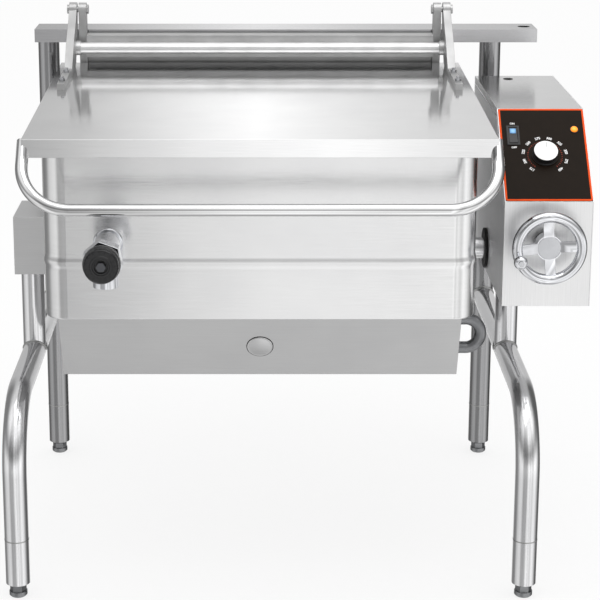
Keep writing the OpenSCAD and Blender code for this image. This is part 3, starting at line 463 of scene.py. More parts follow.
class Workshop:
    """Makes and finishes meshes, and hands each piece to its body."""

    def __init__(self, frame: dict[str, Any]) -> None:
        """Starts with no piece made.
        """
        self.frame = frame
        self.pieces: list[bpy.types.Object] = []

    def keep(self, name: str, mesh: bmesh.types.BMesh, finish: bpy.types.Material, body: Body,
             smooth: float = 35.0, slot: str | None = None) -> bpy.types.Object:
        """Turns a bmesh into a piece that rides on a body.

        Args:
            name: The piece's name.
            mesh: Its shape, which is freed.
            finish: Its material.
            body: What it moves with.
            smooth: Angle in degrees below which faces shade as one.
            slot: The record's slot, for a piece that stands for no CAD node. It is not used.

        Returns:
            The piece.
        """
        data = bpy.data.meshes.new(name)
        mesh.to_mesh(data)
        mesh.free()
        data.materials.append(finish)
        for face in data.polygons:
            face.use_smooth = True
        data.set_sharp_from_angle(angle=math.radians(smooth))
        piece = bpy.data.objects.new(name, data)
        bpy.context.scene.collection.objects.link(piece)
        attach(piece, body.value)
        self.pieces.append(piece)
        return piece

    def merged(self, node: str) -> bmesh.types.BMesh:
        """Copies a node's mesh, with its loose triangles joined and its flat faces whole.

        Args:
            node: The CAD node, which stays as it is.

        Returns:
            The copy.
        """
        mesh = bmesh.new()
        mesh.from_mesh(self.frame["nodes"][node].data)
        bmesh.ops.remove_doubles(mesh, verts=mesh.verts, dist=1e-5)
        bmesh.ops.dissolve_limit(mesh, angle_limit=math.radians(0.4), verts=mesh.verts, edges=mesh.edges)
        return mesh

    def refine(self, node: str, finish: bpy.types.Material, body: Body, edge: float = 0.0, segments: int = 2,
               slot: str | None = None) -> bpy.types.Object:
        """Stands a piece with broken edges in the place of a CAD node.

        Args:
            node: The CAD node.
            finish: Its material.
            body: What it moves with.
            edge: Width of the broken edges in millimetres, or 0 for none.
            segments: Faces across a broken edge.
            slot: The record's slot, if the piece takes another than its node's.

        Returns:
            The piece.
        """
        piece = self.keep(f"{node}_refined", self.merged(node), finish, body, smooth=SHARP_ANGLE)
        if edge:
            self.break_edges(piece, edge, segments).harden_normals = True
        self.stand_in(piece, node, slot)
        return piece

    @staticmethod
    def break_edges(piece: bpy.types.Object, edge: float, segments: int = 2,
                    angle: float = SHARP_ANGLE) -> bpy.types.Modifier:
        """Rounds a piece's sharp edges.

        Args:
            piece: The piece.
            edge: Width of the rounding in millimetres.
            segments: Faces across it.
            angle: Angle in degrees from which an edge is sharp.

        Returns:
            The Bevel modifier.
        """
        bevel = piece.modifiers.new("broken_edges", "BEVEL")
        bevel.width, bevel.segments = edge * MM, segments
        bevel.limit_method, bevel.angle_limit = "ANGLE", math.radians(angle)
        return bevel

    def stand_in(self, piece: bpy.types.Object, node: str, slot: str | None = None) -> None:
        """Hides a CAD node behind a piece.

        Args:
            piece: The piece. It is not used.
            node: The CAD node that it stands for.
            slot: The record's slot, if the piece takes another than its node's. It is not used.
        """
        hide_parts(node)

    def dress(self, node: str, finish: bpy.types.Material) -> None:
        """Gives a CAD node that stays in sight its material.

        Args:
            node: The CAD node.
            finish: Its material.
        """
        data = self.frame["nodes"][node].data
        data.materials.clear()
        data.materials.append(finish)

    @staticmethod
    def middle(node: str) -> Vector:
        """Returns the middle of a node's box."""
        low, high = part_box(node)
        return (low + high) / 2

    @staticmethod
    def put(mesh: bmesh.types.BMesh, place: Matrix) -> bmesh.types.BMesh:
        """Moves a shape to its place and returns it."""
        bmesh.ops.transform(mesh, matrix=place, verts=mesh.verts)
        return mesh

    @classmethod
    def turned(cls, profile: Sequence[tuple[float, float]], place: Matrix,
               steps: int = 64) -> bmesh.types.BMesh:
        """Spins a profile of radius and height into a round shape.

        Args:
            profile: Radius and height of each point, in millimetres.
            place: Where the shape's origin and its Z axis go.
            steps: Faces round the shape.

        Returns:
            The shape.
        """
        mesh = bmesh.new()
        points = [mesh.verts.new((r * MM, 0.0, h * MM)) for r, h in profile]
        lines = [mesh.edges.new(pair) for pair in zip(points, points[1:])]
        bmesh.ops.spin(mesh, geom=points + lines, cent=(0, 0, 0), axis=(0, 0, 1), angle=math.tau,
                       steps=steps, use_merge=True)
        bmesh.ops.remove_doubles(mesh, verts=mesh.verts, dist=1e-6)
        bmesh.ops.recalc_face_normals(mesh, faces=mesh.faces)
        return cls.put(mesh, place)

    @classmethod
    def block(cls, size: Sequence[float], place: Matrix, edge: float = 0.0,
              segments: int = 2) -> bmesh.types.BMesh:
        """Makes a block with rounded edges.

        Args:
            size: Its length along X, Y and Z before it is placed, in millimetres.
            place: Where its middle goes, and how it is turned.
            edge: Radius of its edges in millimetres.
            segments: Faces across an edge.

        Returns:
            The block.
        """
        mesh = bmesh.new()
        bmesh.ops.create_cube(mesh, size=MM, matrix=Matrix.Diagonal((*size, 1.0)))
        if edge:
            bmesh.ops.bevel(mesh, geom=mesh.edges[:], offset=edge * MM, segments=segments, profile=0.5,
                            affect="EDGES", material=-1, clamp_overlap=True)
        return cls.put(mesh, place)

    @staticmethod
    def join(meshes: Iterable[bmesh.types.BMesh]) -> bmesh.types.BMesh:
        """Puts several shapes into one bmesh.

        Args:
            meshes: The shapes, which are freed.

        Returns:
            All of them as one.
        """
        whole = bmesh.new()
        for mesh in meshes:
            part = bpy.data.meshes.new("part")
            mesh.to_mesh(part)
            mesh.free()
            whole.from_mesh(part)
            bpy.data.meshes.remove(part)
        return whole

    @staticmethod
    def solid(curve: bpy.types.Curve) -> bmesh.types.BMesh:
        """Makes a curve or text a mesh.

        Args:
            curve: The curve, which is removed.

        Returns:
            Its mesh, at the origin.
        """
        holder = bpy.data.objects.new("holder", curve)
        bpy.context.scene.collection.objects.link(holder)
        data = bpy.data.meshes.new_from_object(holder.evaluated_get(bpy.context.evaluated_depsgraph_get()))
        mesh = bmesh.new()
        mesh.from_mesh(data)
        bpy.data.objects.remove(holder)
        bpy.data.curves.remove(curve)
        bpy.data.meshes.remove(data)
        return mesh

    @classmethod
    def bead(cls, points: Sequence[Vector], radius: float) -> bmesh.types.BMesh:
        """Lays a closed round bead along points, as a welder does.

        Args:
            points: The middle line, in metres.
            radius: The bead's radius in millimetres.

        Returns:
            The bead.
        """
        curve = bpy.data.curves.new("bead", "CURVE")
        curve.dimensions, curve.bevel_depth, curve.bevel_resolution = "3D", radius * MM, 2
        spline = curve.splines.new("POLY")
        spline.points.add(len(points) - 1)
        for point, place in zip(spline.points, points):
            point.co = (*place, 1.0)
        spline.use_cyclic_u = True
        return cls.solid(curve)

    @classmethod
    def words(cls, text: str, height: float, place: Matrix, depth: float = 0.2) -> bmesh.types.BMesh:
        """Sets plain characters flat on a surface.

        Args:
            text: The characters.
            height: Their height in millimetres.
            place: Where their middle goes, with its Z out of the surface.
            depth: Thickness of the print in millimetres.

        Returns:
            The characters as a solid.
        """
        curve = bpy.data.curves.new("words", "FONT")
        curve.body, curve.size, curve.extrude = text, height * MM * 1.4, depth * MM
        curve.offset = height * MM * 0.04
        curve.align_x, curve.align_y, curve.resolution_u = "CENTER", "CENTER", 3
        return cls.put(cls.solid(curve), place)


@dataclass
class SubAssembly:
    """What every sub-assembly has. The sizes that each holds are in millimetres.

    Attributes:
        shop: The workshop that makes its pieces.
        finishes: The finishes.
    """

    shop: Workshop
    finishes: Finishes

    def build(self) -> None:
        """Builds and dresses the pieces."""
        raise NotImplementedError

    def refine_all(self, body: Body, rows: Iterable[tuple[str, bpy.types.Material, float]]) -> None:
        """Refines several CAD nodes of one body.

        Args:
            body: What they move with.
            rows: Node, finish and width of the broken edges of each. A node named with a star
                stands for its left and its right one.
        """
        for name, finish, edge in rows:
            for side in SIDES if "*" in name else ("",):
                self.shop.refine(name.replace("*", side), finish, body, edge)


@dataclass
class Stand(SubAssembly):
    """The tube frame: arches, posts, cross beam, feet and bearings."""

    tube_r: float = 25.4
    seam_z: float = 128.0
    weld_r: float = 2.4
    weld_out: float = 0.4
    weld_points: int = 64

    def build(self) -> None:
        """Dresses the frame and adds its seams and welds."""
        self.tubes()
        self.leg_seams()
        self.saddle_welds()
        self.bearings()

    def tubes(self) -> None:
        """Gives the tubes and the beam their grain and soft edges."""
        f = self.finishes
        for side in SIDES:
            # The rear posts take the tube copy whose darker tone is painted shade
            self.refine_all(Body.STAND, ((f"side_arch_{side}", f.tube, 0), (f"rear_post_{side}", f.post, 0),
                                         (f"upright_{side}", f.tube, 0), (f"foot_front_{side}", f.dull, 0.8),
                                         (f"foot_rear_{side}", f.dull, 0.8)))
        self.shop.refine("cross_beam", f.beam, Body.STAND, edge=3, segments=3)
        self.shop.dress("foot_inserts", f.dull)

    def leg_seams(self) -> None:
        """Adds the joint ring where each leg tube meets its lower sleeve."""
        r = self.tube_r
        rings = []
        for side in SIDES:
            for row in ("front", "rear"):
                spot = self.shop.middle(f"foot_{row}_{side}")
                rings.append(self.shop.turned(
                    [(r - 0.6, -1.6), (r + 0.35, -1.3), (r + 0.45, 0), (r + 0.35, 1.3), (r - 0.6, 1.6)],
                    Matrix.Translation((spot.x, spot.y, self.seam_z * MM)), 48))
        self.shop.keep("leg_seams", self.shop.join(rings), self.finishes.weld, Body.STAND, slot="steel_tube")

    def saddle_welds(self) -> None:
        """Lays the weld beads where upright and post tubes meet the arches."""
        beads = []
        out = (self.tube_r + self.weld_out) * MM
        circle = [math.tau * i / self.weld_points for i in range(self.weld_points)]
        for side in SIDES:
            arch_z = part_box(f"side_arch_{side}")[1].z - self.tube_r * MM
            up, post = self.shop.middle(f"upright_{side}"), self.shop.middle(f"rear_post_{side}")
            under_upright = [Vector((up.x + out * math.cos(a), up.y + out * math.sin(a),
                                     arch_z + out * abs(math.sin(a)))) for a in circle]
            round_arch = [Vector((post.x + out * math.cos(a), post.y - out * abs(math.sin(a)),
                                  arch_z + out * math.sin(a))) for a in circle]
            beads += [self.shop.bead(loop, self.weld_r) for loop in (under_upright, round_arch)]
        self.shop.keep("frame_welds", self.shop.join(beads), self.finishes.weld, Body.STAND, 80, "steel_tube")

    def bearings(self) -> None:
        """Dresses the bearing blocks, bushes, cover and shaft seal."""
        f = self.finishes
        for side in SIDES:
            self.shop.refine(f"bearing_block_{side}", f.dark, Body.STAND, edge=1.5)
            self.shop.dress(f"bush_{side}", f.bronze)
        self.refine_all(Body.STAND, (("trunnion_cover", f.panel_sheet, 0.9), ("shaft_seal", f.rubber, 1.2)))
        self.shop.dress("worm_bearings", f.dark)


@dataclass
class Pan(SubAssembly):
    """The tilting pan: jacket, inner pan, heater housing, hinge frame and trunnions."""

    corner_r: float = 50.0
    bead_z: float = 719.0
    bead_half: float = 15.0
    # How far the solid's bead stands out, and how far the photographed one does
    bead_out: float = 5.0
    bead_crest: float = 2.2
    wall: float = 2.0
    floor_wall: float = 3.0
    floor_corner_r: float = 15.0
    cove_r: float = 5.0
    # The housing's front leans back this far over this depth
    front_run: float = 75.0
    front_drop: float = 150.0

    def build(self) -> None:
        """Builds the pan from its jacket inwards."""
        self.jacket()
        self.inner_pan()
        self.housing()
        self.hinge_frame()
        self.trunnions()

    def jacket(self) -> None:
        """Presses the jacket from one sheet: round corners, a rolled bead and a turned-in foot."""
        low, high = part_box("pan_jacket")
        out = 2 * self.bead_out * MM
        size = (high.x - low.x - out, high.y - low.y - out, high.z - low.z)
        middle = (low + high) / 2
        mesh = bmesh.new()
        bmesh.ops.create_cube(mesh, size=1.0, matrix=Matrix.Diagonal((*size, 1.0)))
        upright = [e for e in mesh.edges if abs(e.verts[0].co.z - e.verts[1].co.z) > size[2] / 2]
        bmesh.ops.bevel(mesh, geom=upright, offset=self.corner_r * MM, segments=16, profile=0.5,
                        affect="EDGES", material=-1)
        top = [face for face in mesh.faces if face.normal.z > 0.9]
        bmesh.ops.delete(mesh, geom=top, context="FACES")
        centre, half = self.bead_z * MM - middle.z, self.bead_half * MM
        for share in (-1.3, *(step / 5 for step in range(-5, 6)), 1.3):
            bmesh.ops.bisect_plane(mesh, geom=mesh.verts[:] + mesh.edges[:] + mesh.faces[:],
                                   plane_co=(0, 0, centre + share * half), plane_no=(0, 0, 1))
        for vert in mesh.verts:
            share = abs(vert.co.z - centre) / half
            if share < 0.999:
                out = self.bead_crest * MM * 0.5 * (1 + math.cos(math.pi * share))
                vert.co.x *= 1 + 2 * out / size[0]
                vert.co.y *= 1 + 2 * out / size[1]
        piece = self.shop.keep("jacket_sheet", self.shop.put(mesh, Matrix.Translation(middle)),
                               self.finishes.sheet, Body.PAN, smooth=40)
        self.shop.break_edges(piece, 3, segments=3, angle=50)
        shell = piece.modifiers.new("sheet", "SOLIDIFY")
        shell.thickness, shell.offset = self.wall * MM, -1.0
        # The flat faces stay flat in the light up to the bead and the corners
        even = piece.modifiers.new("even_light", "WEIGHTED_NORMAL")
        even.keep_sharp, even.weight = True, 90
        self.shop.stand_in(piece, "pan_jacket")

    def inner_pan(self) -> None:
        """Dresses the inner pan and lays the coved weld round its floor."""
        f = self.finishes
        self.refine_all(Body.PAN, (("pan_liner", f.lid_sheet, 1.2), ("pan_floor", f.lid_sheet, 1.0)))
        self.shop.dress("heating_elements", f.sheath)
        low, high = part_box("pan_floor")
        centre = (low + high) / 2
        r = self.floor_corner_r * MM
        x, y = (half - self.floor_wall * MM - r for half in ((high.x - low.x) / 2, (high.y - low.y) / 2))
        loop = []
        for quarter, (side, end) in enumerate(((1, 1), (-1, 1), (-1, -1), (1, -1))):
            for step in range(7):
                a = math.radians(90 * quarter + 15 * step)
                corner = Vector((centre.x + side * x, centre.y + end * y, high.z + 1 * MM))
                loop.append(corner + Vector((r * math.cos(a), r * math.sin(a), 0)))
        self.shop.keep("pan_cove", self.shop.bead(loop, self.cove_r), f.lid_sheet, Body.PAN, 80,
                       "steel_sheet")

    def housing(self) -> None:
        """Dresses the heater housing, its plug, its screws and its conduit."""
        f = self.finishes
        self.shop.refine("heater_housing", f.panel_sheet, Body.PAN, edge=0.9)
        self.shop.dress("housing_base", f.panel_sheet)
        self.refine_all(Body.PAN, (("heater_conduit", f.dull, 0), ("conduit_fittings", f.dull, 0.8)))
        low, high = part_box("housing_plug")
        lean = math.atan2(self.front_run, self.front_drop)
        outward = Vector((0, -math.cos(lean), -math.sin(lean)))
        turn = Vector((0, 0, 1)).rotation_difference(outward).to_matrix().to_4x4()
        seat = Matrix.Translation((low + high) / 2 - outward * 1 * MM) @ turn
        r = (high.x - low.x) / 2 / MM
        plug = self.shop.turned([(0, 2.2), (r - 5, 2.2), (r - 3.5, 1.7), (r - 1.2, 2.0), (r - 0.2, 1.2),
                                 (r, 0), (0, 0)], seat)
        self.shop.stand_in(self.shop.keep("access_plug", plug, f.panel_sheet, Body.PAN), "housing_plug")
        ring = self.shop.turned([(r + 0.1, 0.1), (r + 0.1, 0.6), (r + 1.3, 0.6), (r + 1.3, 0.1),
                                 (r + 0.1, 0.1)], seat)
        self.shop.keep("plug_gasket", ring, f.rubber, Body.PAN, slot="seal_rubber")
        self.underside_bolts()

    def underside_bolts(self) -> None:
        """Adds the hexagon heads that hold the housing under the jacket's turned-in foot."""
        low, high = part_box("heater_housing")
        rim_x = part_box("pan_jacket")[1].x - self.bead_out * MM
        middle_x = (low.x + high.x) / 2
        reach = (high.x + rim_x) / 2 - middle_x
        bolts = []
        for side in (-1, 1):
            for share in (0.04, 0.5, 0.96):
                spot = Vector((middle_x + side * reach, low.y + share * (high.y - low.y), high.z))
                bolts.append(self.shop.turned(
                    [(0, 7), (5.2, 7), (6.2, 6.2), (6.2, 1.6), (9, 1.6), (9, 0)],
                    Matrix.Translation(spot) @ Matrix.Rotation(math.pi, 4, "X"), 6))
        self.shop.keep("housing_bolts", self.shop.join(bolts), self.finishes.hub, Body.PAN, 20,
                       "steel_machined")

    def hinge_frame(self) -> None:
        """Dresses the channel, the brackets and the pins that carry the lid."""
        f = self.finishes
        self.refine_all(Body.PAN, (("hinge_channel", f.satin, 0.9), ("hinge_bracket_*", f.satin, 1.6),
                                   ("hinge_pins", f.satin, 0.8)))

    def trunnions(self) -> None:
        """Dresses the trunnions and the gear that tilts the pan."""
        self.refine_all(Body.PAN, (("trunnion_*", self.finishes.tube, 1.2),))
        self.shop.dress("sector_gear", self.finishes.dark)


@dataclass
class Lid(SubAssembly):
    """The lid with its handle, hinge arms, cross tube and bolts."""

    def build(self) -> None:
        """Dresses the lid and adds the collars of its cross tube."""
        f = self.finishes
        # The cross tube's paler finish holds painted light
        self.refine_all(Body.LID, (("lid_shell", f.lid_sheet, 1.1), ("lid_handle", f.bar, 0),
                                   ("hinge_arm_*", f.satin, 1.8), ("cross_tube", f.pale, 0),
                                   ("arm_bolts", f.hub, 0.7)))
        self.collars()

    def collars(self) -> None:
        """Adds the collars where the cross tube enters the hinge arms."""
        low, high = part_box("cross_tube")
        r = (high.z - low.z) / 2 / MM
        rings = []
        for x, way in ((low.x, 1), (high.x, -1)):
            spot = Vector((x, (low.y + high.y) / 2, (low.z + high.z) / 2))
            rings.append(self.shop.turned(
                [(r - 0.3, 0), (r + 4, 0), (r + 4, 9), (r + 2.5, 12), (r - 0.3, 12), (r - 0.3, 0)],
                Matrix.Translation(spot) @ Matrix.Rotation(way * math.pi / 2, 4, "Y"), 48))
        self.shop.keep("tube_collars", self.shop.join(rings), self.finishes.satin, Body.LID,
                       slot="steel_machined")


@dataclass
class Console(SubAssembly):
    """The console: its shell, control plate, dial, switch and lamp.

    Places on the sloped panel are measured across from its middle and up from its foot.
    """

    panel_foot: tuple[float, float, float] = (523.0, -253.48, 826.0)
    panel_slope: float = 42.643
    dial_at: tuple[float, float] = (0.0, 116.46)
    switch_at: tuple[float, float] = (-63.04, 168.42)
    lamp_at: tuple[float, float] = (67.13, 184.06)
    lens_r: float = 9.0
    plate_t: float = 1.5
    # Points of the CAD plate further out than this from its middle belong to its rim
    reach: float = 82.0
    film_w: float = 181.0
    film_h: float = 237.0
    film_y: float = 120.3
    border: float = 4.0
    border_corner_r: float = 5.0
    # The dial's numbers run clockwise from the first one's bearing in degrees
    first_bearing: float = 229.5
    number_step: float = 31.0
    ticks_a_number: int = 4
    number_r: float = 45.5
    number_h: float = 5.6
    tick_r: float = 36.0
    top_plug_at: tuple[float, float] = (503.0, 307.5)

    def build(self) -> None:
        """Builds the console from its shell outwards."""
        self.shell()
        self.plate()
        self.scale()
        self.dial()
        self.switch()
        self.lamp()

    def on_panel(self, x: float, y: float, z: float = 0.0) -> Matrix:
        """Finds a place on the sloped panel.

        Args:
            x: Millimetres across from the panel's middle.
            y: Millimetres up the slope from its foot.
            z: Millimetres out of its face.

        Returns:
            The place, with its Z axis out of the panel.
        """
        foot = Matrix.Translation(Vector(self.panel_foot) * MM)
        return foot @ Matrix.Rotation(math.radians(self.panel_slope), 4, "X") @ Matrix.Translation(
            Vector((x, y, z)) * MM)

    def shell(self) -> None:
        """Dresses the shell, and adds its folded hem and the plug in its top."""
        f = self.finishes
        shell = self.shop.refine("console_shell", f.upright_sheet, Body.STAND, edge=0.6)
        shell.data.materials.append(f.top_sheet)
        for face in shell.data.polygons:
            face.material_index = int(face.normal.z > 0.9)
        self.shop.refine("console_side_cover", f.upright_sheet, Body.STAND, edge=0.6)
        self.shop.dress("thermostat_body", f.black)
        low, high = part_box("console_shell")
        x, top = low.x - 0.4 * MM, high.z - 15 * MM
        line = [Vector((x, low.y + 6 * MM, 812 * MM)), Vector((x, low.y + 177 * MM, top)),
                Vector((x, high.y - 8 * MM, top))]
        hems = []
        for start, end in zip(line, line[1:]):
            run = end - start
            turn = Matrix.Rotation(math.atan2(run.z, run.y), 4, "X")
            place = Matrix.Translation((start + end) / 2) @ turn
            hems.append(self.shop.block((0.8, run.length / MM, 2.2), place, 0.3))
        self.shop.keep("console_hem", self.shop.join(hems), f.beam, Body.STAND, slot="steel_sheet")
        x, y = self.top_plug_at
        plug = self.shop.turned([(0, 1.4), (9, 1.2), (11, 0.6), (11.5, 0), (0, 0)],
                                Matrix.Translation((x * MM, y * MM, high.z)), 48)
        self.shop.keep("console_top_plug", plug, f.rubber, Body.STAND, slot="seal_rubber")

    def plate(self) -> None:
        """Lays the black film over the whole width of the panel, with an orange line round it."""
        f = self.finishes
        half_w, half_h, middle = self.film_w * MM / 2, self.film_h * MM / 2, self.film_y * MM
        sheet = self.shop.put(self.shop.merged("control_plate"), self.on_panel(0, 0).inverted())
        for vert in sheet.verts:
            if abs(vert.co.x) > self.reach * MM:
                vert.co.x = math.copysign(half_w, vert.co.x)
            if abs(vert.co.y - middle) > (self.reach + 20) * MM:
                vert.co.y = middle + math.copysign(half_h, vert.co.y - middle)
        film = self.shop.keep("control_film", self.shop.put(sheet, self.on_panel(0, 0)), f.film, Body.STAND)
        self.shop.break_edges(film, 0.4, angle=30).harden_normals = True
        self.shop.stand_in(film, "control_plate")
        mesh = bmesh.new()
        bmesh.ops.create_grid(mesh, x_segments=1, y_segments=1, size=1.0,
                              matrix=Matrix.Diagonal((half_w, half_h, 1, 1)))
        bmesh.ops.bevel(mesh, geom=mesh.verts[:], offset=self.border_corner_r * MM, segments=6, profile=0.5,
                        affect="VERTICES", material=-1)
        inner = bmesh.ops.inset_region(mesh, faces=mesh.faces[:], thickness=self.border * MM,
                                       use_even_offset=True, use_boundary=True)
        rim = set(inner["faces"])
        bmesh.ops.delete(mesh, geom=[face for face in mesh.faces if face not in rim], context="FACES")
        grown = bmesh.ops.extrude_face_region(mesh, geom=mesh.faces[:])
        bmesh.ops.translate(mesh, vec=(0, 0, 0.25 * MM),
                            verts=[v for v in grown["geom"] if isinstance(v, bmesh.types.BMVert)])
        bmesh.ops.recalc_face_normals(mesh, faces=mesh.faces)
        self.shop.put(mesh, self.on_panel(0, self.film_y, self.plate_t))
        self.shop.keep("plate_border", mesh, f.orange, Body.STAND, slot="black_plate")

    def round_dial(self, radius: float, bearing: float) -> Matrix:
        """Returns a place on the plate at a radius from the dial's middle and a bearing in radians."""
        x, y = self.dial_at
        return self.on_panel(x + radius * math.cos(bearing), y + radius * math.sin(bearing), self.plate_t)

    def scale(self) -> None:
        """Prints the dial's plain numbers and ticks."""
        numbers, ticks = [], []
        values = range(175, 401, 25)
        for index, value in enumerate(values):
            angle = math.radians(self.first_bearing - self.number_step * index)
            upright = Matrix.Rotation(angle - math.pi / 2, 4, "Z")
            numbers.append(self.shop.words(str(value), self.number_h,
                                           self.round_dial(self.number_r, angle) @ upright))
        for index in range((len(values) - 1) * self.ticks_a_number + 1):
            angle = math.radians(self.first_bearing - self.number_step / self.ticks_a_number * index)
            long = 2.0 if index % self.ticks_a_number else 3.4
            ticks.append(self.shop.block((long, 0.7, 0.2), self.round_dial(self.tick_r, angle)
                                         @ Matrix.Rotation(angle, 4, "Z")))
        x, y = self.switch_at
        for text, step in (("ON", 31), ("OFF", -31)):
            numbers.append(self.shop.words(text, 4.6, self.on_panel(x, y + step, self.plate_t)))
        self.shop.keep("scale_numbers", self.shop.join(numbers), self.finishes.print, Body.STAND,
                       slot="white_plastic")
        self.shop.keep("scale_ticks", self.shop.join(ticks), self.finishes.tick, Body.STAND,
                       slot="black_plate")

    def dial(self) -> None:
        """Turns the dial: a black skirt under a white cap with a grey pointer line."""
        f = self.finishes
        place = self.on_panel(*self.dial_at, self.plate_t + 0.4)
        skirt = self.shop.turned([(0, 0), (26.6, 0), (27, 0.6), (27, 3.2), (25.6, 4.4), (24.9, 16.6),
                                  (24.2, 17.2), (0, 17.2)], place, 96)
        self.shop.stand_in(self.shop.keep("dial_skirt", skirt, f.black, Body.DIAL), "thermostat_dial",
                           "dark_plastic")
        cap = self.shop.turned([(0, 17.2), (24.6, 17.2), (24.9, 17.5), (24.7, 18.0), (23.5, 18.3), (12, 18.5),
                                (0, 18.55)], place, 96)
        self.shop.keep("dial_cap", cap, f.white, Body.DIAL, slot="white_plastic")
        mark = self.shop.block((0.9, 13, 0.3), place @ Matrix.Rotation(math.radians(-9), 4, "Z")
                               @ Matrix.Translation((0, 15.5 * MM, 18.4 * MM)), 0.1)
        self.shop.keep("dial_pointer", mark, f.dull, Body.DIAL, slot="dark_plastic")

    def switch(self) -> None:
        """Dresses the switch, whose rocker has a lit blue window in its upper half."""
        f = self.finishes
        self.shop.refine("switch_housing", f.black, Body.STAND, edge=0.6)
        self.shop.refine("switch_rocker", f.knob, Body.ROCKER, edge=0.7, slot="dark_plastic")
        spot = self.on_panel(self.switch_at[0], self.switch_at[1] + 11.5, 2.1)
        # Blue polycarbonate over a small lamp: pale in its middle, deep blue at its rim
        glow = LitLens("blue lens, lit", "#7aaed6", 0.3, glow=0.5, edge="#265f94",
                       centre=tuple(spot.translation), radius=self.lens_r * MM).make()
        lens = self.shop.block((13, 12, 2), spot @ Matrix.Rotation(math.radians(5), 4, "X"), 0.9, segments=3)
        self.shop.keep("rocker_window", lens, glow, Body.ROCKER, slot="blue_lens")

    def lamp(self) -> None:
        """Turns the amber lamp and its black bezel."""
        place = self.on_panel(*self.lamp_at, self.plate_t)
        # Amber polycarbonate over a lamp: yellow in its middle, burnt orange at its rim
        glow = LitLens("amber lens, lit", "#ffad32", 0.25, glow=1.0, edge="#d06606",
                       centre=tuple(place.translation), radius=self.lens_r * MM).make()
        dome = self.shop.turned([(0, 0), (7.6, 0), (7.6, 1.4), (7.0, 2.8), (5.2, 3.9), (2.8, 4.4), (0, 4.5)],
                                place)
        self.shop.stand_in(self.shop.keep("lamp_dome", dome, glow, Body.STAND), "heat_lamp")
        ring = self.shop.turned([(7.7, 0), (9.4, 0), (9.2, 1.1), (8.2, 1.5), (7.7, 1.2), (7.7, 0)], place)
        self.shop.keep("lamp_bezel", ring, self.finishes.black, Body.STAND, slot="dark_plastic")


@dataclass
class Handwheel(SubAssembly):
    """The tilt handwheel, its shaft and worm, and its spinning grip."""

    hub_dish: float = 3.92
    hub_r: float = 24.4
    collar_r: float = 23.0
    grip_bore: float = 4.1

    def build(self) -> None:
        """Dresses the wheel, and turns its hub face and its grip."""
        f = self.finishes
        self.shop.refine("wheel_rim", f.chrome, Body.WHEEL)
        self.shop.refine("wheel_spokes", f.chrome, Body.WHEEL, edge=2.2, segments=3)
        for node, finish in (("worm", f.bronze), ("worm_shaft", f.hub), ("grip_pin", f.hub)):
            self.shop.dress(node, finish)
        self.hub_face()
        self.shaft_collar()
        self.grip()

    def hub_face(self) -> None:
        """Adds the satin face that the lathe left on the hub."""
        centre = self.shop.middle("wheel_rim") + Vector((0, self.hub_dish * MM, 0))
        face = self.shop.turned([(0, 0.9), (self.hub_r - 1, 0.8), (self.hub_r, 0), (0, -1)],
                                Matrix.Translation(centre) @ FORWARD)
        self.shop.keep("hub_face", face, self.finishes.hub, Body.WHEEL, slot="chrome")

    def shaft_collar(self) -> None:
        """Adds the black collar round the shaft where it enters the console."""
        low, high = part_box("worm_shaft")
        r, out = (high.x - low.x) / 2 / MM + 0.5, self.collar_r
        seat = Vector(((low.x + high.x) / 2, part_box("console_shell")[0].y, (low.z + high.z) / 2))
        ring = self.shop.turned([(r, 0), (out, 0), (out, 5), (out - 1.5, 6.5), (r, 6.5), (r, 0)],
                                Matrix.Translation(seat) @ FORWARD)
        self.shop.keep("shaft_collar", ring, self.finishes.black, Body.STAND, slot="dark_plastic")

    def grip(self) -> None:
        """Turns the grip: a collar, a waist and a ball with a sunk screw."""
        low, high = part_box("wheel_grip")
        seat = Vector(((low.x + high.x) / 2, high.y, (low.z + high.z) / 2))
        bore = self.grip_bore
        ball = self.shop.turned(
            [(bore, 0), (9.0, 0), (10, 1.2), (10, 3), (8.2, 4.6), (9.4, 7), (12.2, 10.3), (14.0, 14),
             (14.4, 17.5), (14.0, 21), (12.4, 24.4), (10.2, 26.9), (8.6, 27.9), (8.4, 27.6), (bore, 27.6),
             (bore, 0)],
            Matrix.Translation(seat) @ FORWARD)
        self.shop.stand_in(self.shop.keep("grip_ball", ball, self.finishes.chrome, Body.GRIP, smooth=50),
                           "wheel_grip")


